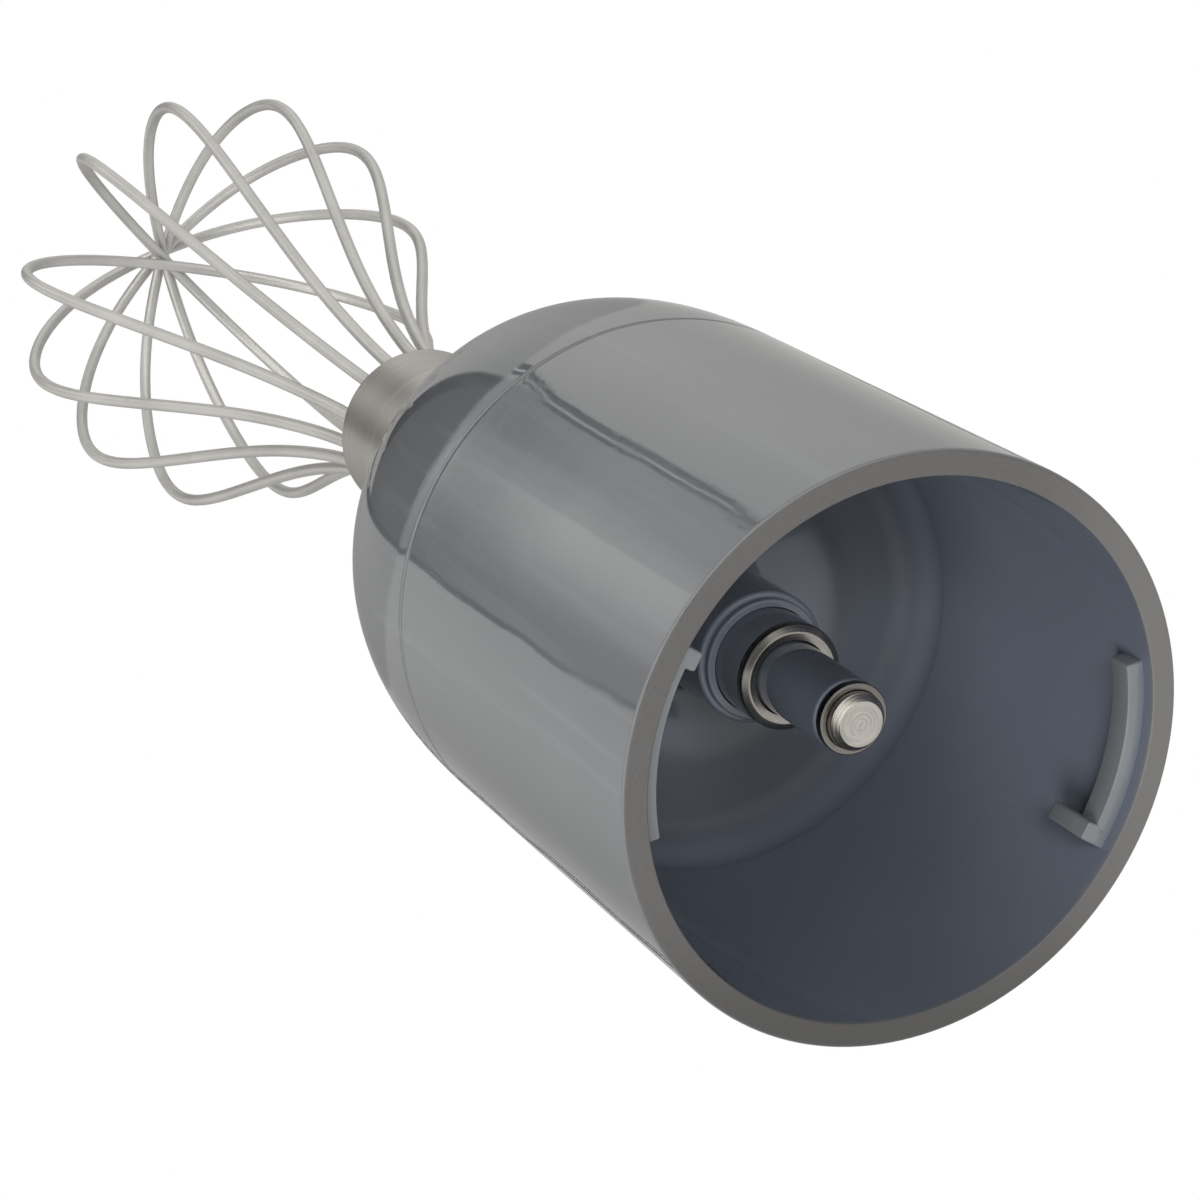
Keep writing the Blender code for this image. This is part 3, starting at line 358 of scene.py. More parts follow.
class Finish(Shader):
    """A material under construction, in the object's own metres."""

    def __init__(self, name):
        self.material = bpy.data.materials.new(name)
        self.material.use_nodes = True
        super().__init__(self.material.node_tree)
        self.place = self.node("ShaderNodeTexCoord", output="Object")
        axes = [self.node("ShaderNodeSeparateXYZ", None, {0: self.place}, axis) for axis in "XYZ"]
        self.x, self.y, self.z = axes
        self.radius = (self.x * self.x + self.y * self.y) ** 0.5

    def at(self, x, y, z):
        """A texture position."""
        return self.node("ShaderNodeCombineXYZ", None, {"X": x, "Y": y, "Z": z})

    def round_place(self, across, along, round_about=0.0):
        """A position that turns with the piece: the numbers stretch it across, along and round."""
        angle = self.node("ShaderNodeMath", {"operation": "ARCTAN2"}, {0: self.y, 1: self.x})
        return self.at(self.radius * across, angle * round_about, self.z * along)

    def noise(self, scale, detail=2.0, place=None, roughness=0.5):
        """Cloudy noise about 0.5, with so many cells to the metre."""
        inputs = {"Scale": scale, "Detail": detail, "Roughness": roughness}
        return self.node("ShaderNodeTexNoise", None, {"Vector": place or self.place, **inputs})

    def bump(self, height, distance, under=None):
        """A normal from a height from 0 to 1, which stands for a distance in metres."""
        inputs = {"Height": height, "Distance": distance, "Normal": under}
        return self.node("ShaderNodeBump", None, inputs)

    def tones(self, colour, value, start, end, dark, light):
        """A darker to a lighter tone of a colour as a value goes from start to end."""
        return self.mix(self.grade(value, start, end), shade(colour, dark), shade(colour, light))

    def surface(self, colour, roughness, normal=None, metallic=0.0):
        """Close the material with a Principled shader."""
        inputs = {"Base Color": colour, "Roughness": roughness, "Normal": normal, "Metallic": metallic}
        shader = self.node("ShaderNodeBsdfPrincipled", None, inputs)
        self.node("ShaderNodeOutputMaterial", None, {"Surface": shader})
        return self.material


def shade(colour, factor):
    """A colour made lighter or darker."""
    return tuple(min(1.0, channel * factor) for channel in colour)


# Finishes


def scratches(paint, across, along, lean, level):
    """Short fine scratches that lean across the piece, 0 or 1, only in some patches."""
    slanted = paint.at((paint.x + paint.y * lean) * across, paint.y * across, paint.z * along)
    lines = paint.grade(paint.noise(1.0, 2.0, slanted), level, level + 0.025)
    patches = paint.grade(paint.noise(45.0, 2.0), 0.47, 0.62)
    return lines * patches


def moulded_plastic(name, colour, rim_colour=None, inside=None, wall=None):
    """Glossy moulded plastic with flow marks, fine scratches and a scuffed rim, with painted shade on
    the mouth's inner wall and painted light and shade across the rim.
    """
    paint = Finish(name)
    flow = paint.noise(26.0, 3.0)
    grain = paint.noise(1900.0, 1.0)
    marks = scratches(paint, 160.0, 5200.0, 0.6, 0.635) + scratches(paint, 4200.0, 190.0, -0.3, 0.645)
    streaky = paint.at(paint.x * 520.0, paint.y * 520.0, paint.z * 16.0)
    wipes = paint.grade(paint.noise(1.0, 3.0, streaky), 0.5, 0.7)
    tone = paint.tones(colour, flow, 0.35, 0.65, 0.96, 1.04)
    # Painted shade: inside the mouth the wall takes the darker cavity colour to paint the cavity's
    # shade, and the lugs, which stand off the wall, keep the lighter tone
    if inside is not None:
        off_wall = paint.radius + paint.z * wall[1] - wall[0]
        painted_wall_shade = paint.grade(off_wall, 0.4 * MM, 0.1 * MM) * paint.grade(off_wall, -0.5 * MM, -0.2 * MM)
        tone = paint.mix(painted_wall_shade * paint.grade(paint.z, 0.25 * MM, 0.6 * MM), tone, inside)
    wipes = wipes * paint.grade(paint.radius, 27.5 * MM, 28.3 * MM)
    tone = paint.mix(marks * 0.05 + wipes * 0.1, tone, shade(colour, 2.2))
    roughness = paint.grade(flow, 0.3, 0.7, 0.02, 0.045) + marks * 0.08 + grain * 0.02 + wipes * 0.03
    peel = paint.noise(300.0, 2.0) * 0.8 + grain * 0.05 - marks * 0.08
    if rim_colour is not None:
        face = paint.grade(paint.z, 0.22 * MM, 0.06 * MM)
        saw = paint.noise(1.0, 3.0, paint.round_place(5200.0, 0.0, 34.0), 0.7)
        rim_wear_and_shade = paint.tones(rim_colour, saw, 0.25, 0.75, 0.9, 1.1)
        # Painted shade on the rim's lower left and painted light on its right, for how light falls
        # across the flat
        painted_rim_shade = paint.grade(paint.x - paint.y * 0.5, -15.0 * MM, -32.0 * MM)
        rim_wear_and_shade = paint.mix(painted_rim_shade * 0.7, rim_wear_and_shade, shade(rim_colour, 0.35))
        painted_rim_light = paint.grade(paint.x + paint.y, 18.0 * MM, 40.0 * MM)
        tone = paint.mix(face, tone, paint.mix(painted_rim_light * 0.6, rim_wear_and_shade, shade(rim_colour, 1.8)))
        roughness = roughness + face * (0.24 + saw * 0.2 - roughness)
        peel = peel + face * saw * 0.8
    waves = paint.bump(paint.noise(58.0, 1.0), 0.07 * MM)
    return paint.surface(tone, roughness, paint.bump(peel, 0.006 * MM, waves))


def cavity_plastic(name, colour):
    """Dark moulded plastic of the cavity's floor, satin toward the wall, with painted shade darkening
    the boss and a ring of the floor.
    """
    paint = Finish(name)
    flow = paint.noise(40.0, 3.0)
    satin = paint.grade(paint.radius, 14.0 * MM, 21.0 * MM)
    # Painted shade: the boss and a ring of the floor from about 12 mm out, weaker toward the lip, are
    # darkened for the shade in the cavity
    boss = paint.grade(paint.radius, 8.6 * MM, 7.2 * MM)
    ring = paint.grade(paint.radius, 12.0 * MM, 17.0 * MM)
    ring = ring * paint.grade(paint.radius, 25.3 * MM, 23.2 * MM, 0.3, 1.15)
    tone = paint.tones(colour, flow, 0.35, 0.65, 0.96, 1.04)
    tone = paint.mix(ring * 0.55 + boss * 0.05, tone, shade(colour, 0.2))
    roughness = paint.grade(flow, 0.3, 0.7, 0.05, 0.08) + satin * 0.34
    return paint.surface(tone, roughness, paint.bump(paint.noise(300.0, 2.0), 0.005 * MM))


def turned_metal(name, colour, roughness=0.24, pitch=5200.0, depth=0.006 * MM, cover=None):
    """Metal from the lathe: fine rings on its faces and round its sides. Behind the height that
    a cover starts at, dark plastic is moulded over it."""
    paint = Finish(name)
    rings = paint.noise(1.0, 3.0, paint.round_place(pitch, pitch, 0.5), 0.65)
    stains = paint.noise(240.0, 3.0)
    tone = paint.tones(colour, rings, 0.3, 0.7, 0.78, 1.12)
    tone = paint.mix(paint.grade(stains, 0.55, 0.75, 0.0, 0.35), tone, shade(colour, 0.55))
    rough = paint.grade(rings, 0.3, 0.7, roughness - 0.06, roughness + 0.1)
    if cover is None:
        bare = 1.0
    else:
        bare = paint.grade(paint.z, cover[0] + 0.05 * MM, cover[0] - 0.05 * MM)
        tone = paint.mix(bare, cover[1], tone)
        rough = 0.12 + bare * (rough - 0.12)
        rings = rings * bare
    return paint.surface(tone, rough, paint.bump(rings, depth), bare)


def brushed_metal(name, colour):
    """Drawn steel, brushed round its axis."""
    paint = Finish(name)
    fine = paint.noise(1.0, 4.0, paint.round_place(400.0, 7800.0, 1.2), 0.7)
    bands = paint.noise(1.0, 2.0, paint.round_place(60.0, 520.0, 0.4))
    tone = paint.tones(colour, fine, 0.3, 0.7, 0.8, 1.16)
    tone = paint.mix(paint.grade(bands, 0.45, 0.7, 0.0, 0.3), tone, shade(colour, 0.72))
    roughness = paint.grade(fine, 0.25, 0.75, 0.28, 0.40)
    return paint.surface(tone, roughness, paint.bump(fine, 0.005 * MM), 1.0)


def drawn_wire(name, colour):
    """Bright drawn wire with die marks and a few dull spots."""
    paint = Finish(name)
    draw = paint.noise(110.0, 2.0)
    spots = paint.grade(paint.noise(260.0, 3.0), 0.58, 0.74)
    tone = paint.tones(colour, draw, 0.3, 0.7, 0.94, 1.05)
    tone = paint.mix(spots * 0.15, tone, shade(colour, 0.6))
    roughness = paint.grade(draw, 0.3, 0.7, 0.42, 0.48) + spots * 0.06
    return paint.surface(tone, roughness, metallic=0.7)


def gear_plastic(name, colour):
    """Natural moulded plastic, satin, with faint flow and grease stains."""
    paint = Finish(name)
    flow = paint.noise(110.0, 3.0)
    grease = paint.grade(paint.noise(190.0, 3.0), 0.55, 0.7)
    tone = paint.tones(colour, flow, 0.3, 0.7, 0.93, 1.04)
    tone = paint.mix(grease * 0.3, tone, (0.50, 0.42, 0.26))
    roughness = paint.grade(flow, 0.3, 0.7, 0.42, 0.55) - grease * 0.22
    return paint.surface(tone, roughness, paint.bump(paint.noise(2200.0, 2.0), 0.006 * MM))


def sintered_metal(name, colour):
    """Porous bearing bronze."""
    paint = Finish(name)
    grain = paint.noise(5200.0, 3.0)
    pores = paint.grade(grain, 0.38, 0.30)
    tone = paint.tones(colour, paint.noise(300.0, 2.0), 0.3, 0.7, 0.85, 1.1)
    tone = paint.mix(pores, tone, shade(colour, 0.35))
    roughness = paint.grade(grain, 0.3, 0.7, 0.38, 0.55)
    return paint.surface(tone, roughness, paint.bump(grain, 0.02 * MM), 1.0)


def seal_rubber(name, colour):
    """Black moulded rubber with a dusty bloom."""
    paint = Finish(name)
    bloom = paint.grade(paint.noise(400.0, 3.0), 0.45, 0.7)
    tone = paint.mix(bloom, colour, shade(colour, 2.6))
    return paint.surface(tone, 0.55 + bloom * 0.2, paint.bump(paint.noise(3000.0, 2.0), 0.01 * MM))


# Meshes


def soften(corners, steps=5):
    """Round a closed (radius, height) outline where a corner's third number gives a radius.

    A point on the flat beside each rounding keeps the flat's shading flat."""
    outline = []
    for index, corner in enumerate(corners):
        here = Vector(corner[:2])
        if len(corner) == 2:
            outline.append(here)
            continue
        before = Vector(corners[index - 1][:2]) - here
        after = Vector(corners[(index + 1) % len(corners)][:2]) - here
        back, ahead = before.normalized(), after.normalized()
        half = back.angle(ahead) / 2
        tangent = corner[2] / tan(half)
        centre = here + (back + ahead).normalized() * (corner[2] / sin(half))
        start = here + back * tangent - centre
        end = here + ahead * tangent - centre
        sweep = start.angle(end)
        if before.length > FLAT_MARGIN * 2 * tangent:
            outline.append(here + back * tangent * FLAT_MARGIN)
        for step in range(steps + 1):
            share = step / steps
            turn = start * sin((1 - share) * sweep) + end * sin(share * sweep)
            outline.append(centre + turn / sin(sweep))
        if after.length > FLAT_MARGIN * 2 * tangent:
            outline.append(here + ahead * tangent * FLAT_MARGIN)
    return outline


def signed_area(outline):
    """Area of a closed outline, positive when it runs anticlockwise."""
    pairs = zip(outline, outline[1:] + outline[:1])
    return sum(a[0] * b[1] - b[0] * a[1] for a, b in pairs) / 2


def polar(radius, angle, height=0.0):
    """A point by its distance from the axis, its direction and its height."""
    return radius * cos(angle), radius * sin(angle), height


def lathe(outline, sides):
    """Vertices and faces of a closed (radius, height) outline turned about Z."""
    if signed_area(outline) < 0:
        outline = outline[::-1]
    vertices, rings = [], []
    for radius, height in outline:
        if radius < 1e-9:
            rings.append([len(vertices)] * sides)
            vertices.append((0.0, 0.0, height))
        else:
            rings.append(list(range(len(vertices), len(vertices) + sides)))
            vertices += [polar(radius, TURN * side / sides, height) for side in range(sides)]
    faces = []
    for lower, upper in zip(rings, rings[1:] + rings[:1]):
        if lower[0] == lower[1] and upper[0] == upper[1]:
            continue
        for side in range(sides):
            after = (side + 1) % sides
            corners = [lower[side], lower[after], upper[after], upper[side]]
            faces.append(list(dict.fromkeys(corners)))
    return vertices, faces


def wedge(inner, outer, low, high, start, sweep, steps=24):
    """Vertices and faces of a block between two radii, two heights and two angles."""
    corners = ((inner, low), (outer, low), (outer, high), (inner, high))
    vertices = []
    for step in range(steps + 1):
        angle = start + sweep * step / steps
        vertices += [polar(radius, angle, height) for radius, height in corners]
    faces = []
    for first in range(0, 4 * steps, 4):
        for side in range(4):
            a, b = first + side, first + (side + 1) % 4
            faces.append((a, b, b + 4, a + 4))
    faces += [(3, 2, 1, 0), tuple(range(4 * steps, 4 * steps + 4))]
    return vertices, faces


def tube(path, radius, sides, side_way):
    """Vertices and faces of a round wire along a path that lies in a plane."""
    vertices = []
    for index, point in enumerate(path):
        along = (path[min(index + 1, len(path) - 1)] - path[max(index - 1, 0)]).normalized()
        out = along.cross(side_way)
        for side in range(sides):
            angle = TURN * side / sides
            vertices.append(point + (out * cos(angle) + side_way * sin(angle)) * radius)
    last = len(vertices) - sides
    faces = []
    for first in range(0, last, sides):
        for side in range(sides):
            a, b = first + side, first + (side + 1) % sides
            faces.append((a, a + sides, b + sides, b))
    faces += [tuple(range(sides)), tuple(reversed(range(last, len(vertices))))]
    return vertices, faces


def bspline(control, steps):
    """Points of a clamped cubic B-spline."""
    degree = 3
    spans = len(control) - degree
    knots = [0.0] * degree + [float(k) for k in range(spans + 1)] + [float(spans)] * degree
    points = []
    for step in range(steps + 1):
        at = spans * step / steps
        span = min(int(at), spans - 1) + degree
        nearby = [Vector(point) for point in control[span - degree:span + 1]]
        for level in range(1, degree + 1):
            for index in range(degree, level - 1, -1):
                low = knots[index + span - degree]
                high = knots[index + 1 + span - level]
                share = (at - low) / (high - low)
                nearby[index] = nearby[index - 1].lerp(nearby[index], share)
        points.append(nearby[degree])
    return points


def add_object(name, data):
    """An object in the scene's own collection."""
    item = bpy.data.objects.new(name, data)
    bpy.context.scene.collection.objects.link(item)
    return item


def add_piece(name, mesh_data, material, sharp=SHARP_ANGLE):
    """An object from vertices and faces, smooth except at its sharp edges."""
    vertices, faces = mesh_data
    mesh = bpy.data.meshes.new(name)
    mesh.from_pydata([tuple(v) for v in vertices], [], faces)
    mesh.shade_smooth()
    mesh.set_sharp_from_angle(angle=sharp)
    if material is not None:
        mesh.materials.append(material)
    return add_object(name, mesh)


def turned(name, corners, sides, material):
    """An object turned about Z from the corners of its outline, as soften takes them."""
    return add_piece(name, lathe(soften(corners), sides), material)


def post(place, radius, low, high, sides, material):
    """A round guide solid that stands at a place between two heights."""
    path = [Vector((place.x, place.y, height)) for height in (low, high)]
    return add_piece("post_guide", tube(path, radius, sides, Vector((0, 1, 0))), material)


def dress(piece, body, node):
    """Let a piece ride on its body and stand for its node."""
    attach(piece, body)
    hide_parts(node)


def carve(piece, guides, operation, edge=0.0):
    """Join or cut a piece with guide solids, and keep only the result."""
    for guide in guides:
        if edge > 0:
            bevel = guide.modifiers.new("Edge", "BEVEL")
            bevel.width = edge
            bevel.segments = 3
            bevel.limit_method = "ANGLE"
        modifier = piece.modifiers.new(operation.title(), "BOOLEAN")
        modifier.operation = operation
        modifier.solver = "EXACT"
        modifier.object = guide
    bpy.context.view_layer.update()
    shaped = piece.evaluated_get(bpy.context.evaluated_depsgraph_get())
    mesh = bpy.data.meshes.new_from_object(shaped)
    if not mesh.polygons:
        raise RuntimeError(piece.name + " has no faces left")
    piece.modifiers.clear()
    old, piece.data = piece.data, mesh
    bpy.data.meshes.remove(old)
    for guide in guides:
        bpy.data.objects.remove(guide)
    mesh.shade_smooth()
    mesh.set_sharp_from_angle(angle=SHARP_ANGLE)


# Pieces


class WHISK_OT_collar(bpy.types.Operator):
    """Build the collar with its scuffed rim, drafted cavity and two bayonet lugs"""

    bl_idname = "whisk.collar"
    bl_label = "Build collar"

    def execute(self, context):
        size = context.scene.collar_sizes
        colours = context.scene.finishes
        outline = [
            (size.mouth_radius, 0.0, size.edge / 2),
            (size.rim_radius, 0.0, size.edge),
            (size.rim_radius, size.seam_height, size.edge),
            (SPIGOT_BORE, size.seam_height),
            (SPIGOT_BORE, SHELF_DEPTH),
            (size.shelf_radius, SHELF_DEPTH, size.edge / 2),
        ]
        draft = (size.mouth_radius - size.shelf_radius) / SHELF_DEPTH
        # The cavity colour and the wall's slope let the moulding paint shade on the mouth's inner wall
        plastic = moulded_plastic(
            "collar_moulding", colours.collar, colours.rim,
            colours.cavity, (size.mouth_radius, draft))
        collar = turned("collar_body", outline, BODY_SIDES, plastic)
        root = (size.mouth_radius + size.rim_radius) / 2
        low = size.lug_setback
        guides = []
        for number in range(2):
            start = size.lug_start + pi * number
            stop = start + size.lug_sweep - size.stop_sweep
            rib_sweep = size.lug_sweep - size.stop_sweep / 2
            rib = wedge(
                size.mouth_radius - size.lug_depth, root, low, low + size.lug_height, start, rib_sweep)
            end = wedge(
                size.mouth_radius - size.stop_depth, root, low, low + size.stop_height,
                stop, size.stop_sweep, STOP_STEPS)
            guides += [add_piece("lug_guide", rib, plastic), add_piece("stop_guide", end, plastic)]
        carve(collar, guides, "UNION", edge=LUG_EDGE)
        dress(collar, "housing", "collar_shell")
        return {"FINISHED"}


def dome_outline(size, collar, inset, limit, steps):
    """The dome's outline from its widest point to its flat end."""
    reach = collar.rim_radius - inset - size.face_radius
    height = NOSE_HIGH.z - collar.seam_height - inset
    power = 2 / size.roundness
    share = min((limit - size.face_radius) / reach, 1.0)
    first = acos(share ** (1 / power))
    points = []
    for step in range(steps + 1):
        angle = first + (pi / 2 - first) * step / steps
        across = max(cos(angle), 0.0) ** power
        rise = height * sin(angle) ** power
        points.append((size.face_radius + reach * across, collar.seam_height + rise))
    return points


class WHISK_OT_nose(bpy.types.Operator):
    """Build the domed nose with its spigot and bearing tube"""

    bl_idname = "whisk.nose"
    bl_label = "Build nose"

    def execute(self, context):
        size = context.scene.nose_sizes
        collar = context.scene.collar_sizes
        seam = collar.seam_height + SEAM_GAP
        top = NOSE_HIGH.z
        outside = dome_outline(size, collar, 0.0, collar.rim_radius, DOME_STEPS)
        inside = dome_outline(size, collar, size.wall, NOSE_BORE, DOME_INSIDE_STEPS)
        tube_radius = BEARING_BORE + BEARING_WALL
        tube_base = LOWER_BEARING[0].z - FIXED_GAP
        land_low = LOWER_BEARING[1].z + FIXED_GAP
        land_high = UPPER_BEARING[0].z - 2 * FIXED_GAP
        inside = [point for point in inside if point[0] > tube_radius + size.wall / 2]
        outline = [
            (NOSE_BORE, NOSE_LOW.z),
            (SPIGOT_BORE - FIXED_GAP, NOSE_LOW.z),
            (SPIGOT_BORE - FIXED_GAP, seam),
            (collar.rim_radius, seam, collar.edge),
            *[point for point in outside if point[1] > seam + 2 * collar.edge],
            (BEARING_BORE, top, collar.edge / 2),
            (BEARING_BORE, land_high),
            (BEARING_BORE - LAND_WIDTH, land_high),
            (BEARING_BORE - LAND_WIDTH, land_low),
            (BEARING_BORE, land_low),
            (BEARING_BORE, tube_base),
            (tube_radius, tube_base),
            (tube_radius, top - size.wall, size.wall / 2),
            *reversed(inside),
        ]
        colours = context.scene.finishes
        plastic = moulded_plastic("nose_moulding", colours.collar)
        nose = turned("nose_dome", outline, BODY_SIDES, plastic)
        base = GEAR_RING[1].z + FIXED_GAP
        pillars, holes = [], []
        for low, high in SCREWS:
            place = (low + high) / 2
            pillars.append(post(place, PILLAR_RADIUS, base, PILLAR_TOP, POST_SIDES, plastic))
            end = base + SCREW_DEPTH
            holes.append(post(place, SCREW_BORE, base - PILLAR_RADIUS, end, POST_SIDES, plastic))
        carve(nose, pillars, "UNION")
        carve(nose, holes, "DIFFERENCE")
        dress(nose, "housing", "nose_cap")
        return {"FINISHED"}


class WHISK_OT_cavity_floor(bpy.types.Operator):
    """Build the dark floor of the cavity with its bowl and stepped boss"""

    bl_idname = "whisk.cavity_floor"
    bl_label = "Build cavity floor"

    def execute(self, context):
        size = context.scene.drive_sizes
        collar = context.scene.collar_sizes
        draft = (collar.mouth_radius - collar.shelf_radius) / SHELF_DEPTH
        lip = collar.mouth_radius - draft * size.lip_height - LIP_GAP
        skirt = collar.shelf_radius - FIXED_GAP
        spigot = SPIGOT_BORE - FIXED_GAP
        bowl = []
        for step in range(BOWL_STEPS + 1):
            angle = (pi / 2 - size.floor_dish) * step / BOWL_STEPS
            bowl.append((
                lip - size.floor_round * (1 - cos(angle)),
                size.lip_height + size.floor_round * sin(angle)))
        fall = (bowl[-1][0] - size.boss_radius) * tan(size.floor_dish)
        bush_room = BUSH_HIGH.x + BUSH_GAP
        bush_seat = BUSH_HIGH.z + FIXED_GAP
        rod_room = size.rod_radius + 2 * ROD_GAP
        rib_in, rib_out, rib_height = RUB_RIB
        outline = [
            *bowl,
            (size.boss_radius, bowl[-1][1] + fall, 1.2 * MM),
            (size.boss_radius, size.boss_height, 0.35 * MM),
            (size.boss_radius - BOSS_STEP[0], size.boss_height),
            (size.boss_radius - BOSS_STEP[0], size.boss_height - BOSS_STEP[1], 0.2 * MM),
            (bush_room, size.boss_height - BOSS_STEP[1]),
            (bush_room, bush_seat),
            (rod_room, bush_seat),
            (rod_room, COVER_BACK),
            (rib_in, COVER_BACK),
            (rib_in, COVER_BACK + rib_height, 0.3 * MM),
            (rib_out, COVER_BACK + rib_height, 0.3 * MM),
            (rib_out, COVER_BACK),
            (BACK_SLOPE[0], COVER_BACK),
            (skirt - COVER_WALL, BACK_SLOPE[1]),
            (skirt - COVER_WALL, FLANGE_STEP),
            (NOSE_BORE, FLANGE_STEP),
            (NOSE_BORE, FLANGE_HIGH),
            (spigot, FLANGE_HIGH),
            (spigot, FLANGE_LOW),
            (skirt, FLANGE_LOW),
        ]
        colours = context.scene.finishes
        plastic = cavity_plastic("cavity_moulding", colours.cavity)
        floor = turned("cavity_floor", outline, BODY_SIDES, plastic)
        dress(floor, "housing", "gear_cover")
        return {"FINISHED"}


def turned_face(size):
    """The shaft's end face, with the grooves that the lathe tool left and a hollow in the middle."""
    points = [(0.0, ROD_LOW.z + 2 * size.turning_depth)]
    grooves, steps = 5, 34
    for step in range(1, steps):
        share = step / steps
        groove = size.turning_depth * (0.5 + 0.5 * cos(share * TURN * grooves))
        points.append((size.tip_radius * share * 0.97, ROD_LOW.z + groove))
    return points


class WHISK_OT_drive_line(bpy.types.Operator):
    """Build the bush, the drive shaft, its end ring and its coupling sleeve"""

    bl_idname = "whisk.drive_line"
    bl_label = "Build drive line"

    def execute(self, context):
        size = context.scene.drive_sizes
        colours = context.scene.finishes
        steel = turned_metal("lathe_steel", colours.steel)
        bush_bore = SLEEVE_HIGH.x + BUSH_GAP
        bush = [
            (bush_bore, BUSH_LOW.z + 0.1 * MM, 0.1 * MM),
            (BUSH_HIGH.x - BUSH_CHAMFER[0], BUSH_LOW.z, 0.3 * MM),
            (BUSH_HIGH.x, BUSH_LOW.z + BUSH_CHAMFER[1], 0.25 * MM),
            (BUSH_HIGH.x, BUSH_HIGH.z),
            (bush_bore, BUSH_HIGH.z),
        ]
        cover = (BUSH_LOW.z + BUSH_FACE, shade(colours.cavity, 0.8))
        bush_tone = shade(colours.steel, 0.7)
        bush_steel = turned_metal("bush_steel", bush_tone, 0.2, 3000.0, 0.003 * MM, cover)
        piece = turned("steel_bush", bush, SMALL_SIDES, bush_steel)
        dress(piece, "housing", "input_bush")

        groove_low, groove_high, groove_depth = CLIP_GROOVE
        rod = [
            *turned_face(size),
            (size.tip_radius, ROD_LOW.z, 0.08 * MM),
            (size.rod_radius, ROD_LOW.z + TIP_CHAMFER, 0.15 * MM),
            (size.rod_radius, groove_low),
            (size.rod_radius - groove_depth, groove_low),
            (size.rod_radius - groove_depth, groove_high),
            (size.rod_radius, groove_high),
            (size.rod_radius, ROD_HIGH.z - PILOT_LENGTH, 0.2 * MM),
            (PILOT_RADIUS, ROD_HIGH.z - PILOT_LENGTH),
            (PILOT_RADIUS, ROD_HIGH.z, 0.2 * MM),
            (0.0, ROD_HIGH.z),
        ]
        piece = turned("drive_rod", rod, SMALL_SIDES, steel)
        dress(piece, "drive", "drive_shaft")

        ring_bore = size.rod_radius + RING_GAP
        ring = [
            (ring_bore, RING_LOW.z, 0.04 * MM),
            (RING_HIGH.x, RING_LOW.z, 0.18 * MM),
            (RING_HIGH.x, RING_HIGH.z, 0.08 * MM),
            (ring_bore, RING_HIGH.z),
        ]
        ring_steel = turned_metal("ring_steel", shade(colours.steel, 0.45))
        piece = turned("tip_ring", ring, SMALL_SIDES, ring_steel)
        dress(piece, "drive", "tip_washer")

        bore = size.rod_radius + ROD_GAP
        front = SLEEVE_HIGH.x - SLEEVE_TAPER
        sleeve = [
            (bore, SLEEVE_LOW.z, 0.1 * MM),
            (front, SLEEVE_LOW.z, 0.35 * MM),
            (SLEEVE_HIGH.x, BUSH_LOW.z),
            (SLEEVE_HIGH.x, SLEEVE_HIGH.z),
            (bore, SLEEVE_HIGH.z),
        ]
        plastic = moulded_plastic("sleeve_moulding", shade(colours.cavity, 0.7))
        piece = turned("drive_sleeve", sleeve, SMALL_SIDES, plastic)
        dress(piece, "drive", "drive_coupling")
        return {"FINISHED"}


class WHISK_OT_ferrule(bpy.types.Operator):
    """Build the brushed ferrule and the hub that grips the wires"""

    bl_idname = "whisk.ferrule"
    bl_label = "Build ferrule"

    def execute(self, context):
        size = context.scene.whisk_sizes
        colours = context.scene.finishes
        radius, low, high = FERRULE_HIGH.x, FERRULE_LOW.z, FERRULE_HIGH.z
        inner = radius - size.ferrule_wall
        outline = [
            (HUB_BORE, low),
            (radius, low, 0.8 * MM),
            (radius, high, size.ferrule_roll),
            (inner - 0.3 * MM, high, 0.2 * MM),
            (inner, high - size.ferrule_roll),
            (inner, low + size.ferrule_wall),
            (HUB_BORE, low + size.ferrule_wall),
        ]
        steel = brushed_metal("ferrule_brushed_steel", colours.ferrule)
        ferrule = turned("steel_ferrule", outline, SMALL_SIDES, steel)
        dress(ferrule, "whisk", "ferrule")

        hub_radius = HUB_HIGH.x
        hub_outline = [
            (HUB_BORE, HUB_LOW.z),
            (hub_radius, HUB_LOW.z),
            (hub_radius, HUB_HIGH.z, 0.7 * MM),
            (0.0, HUB_HIGH.z),
            (0.0, HUB_LOW.z + HUB_BORE_DEPTH),
            (HUB_BORE, HUB_LOW.z + HUB_BORE_DEPTH),
        ]
        plastic = moulded_plastic("hub_moulding", shade(colours.cavity, 0.8))
        hub = turned("wire_hub", hub_outline, SMALL_SIDES, plastic)
        depth = HUB_HIGH.z - WIRE_GRIP - FIXED_GAP
        hole = size.wire_radius + FIXED_GAP
        guides = []
        for number in range(size.loops):
            for side in (0, 1):
                angle = loop_direction(size, number) + side * pi
                middle = Vector(polar(1.0, angle)) * WIRE_OUTLINE[0][0] * MM
                guides.append(post(middle, hole, depth, HUB_HIGH.z + hole, HOLE_SIDES, None))
        carve(hub, guides, "DIFFERENCE")
        dress(hub, "whisk", "whisk_hub")
        return {"FINISHED"}


def loop_direction(size, number):
    """Direction of a loop's plane, with the small error of its hand bending."""
    return size.first_loop - pi * number / len(WIRE_STRAY) + radians(WIRE_STRAY[number])


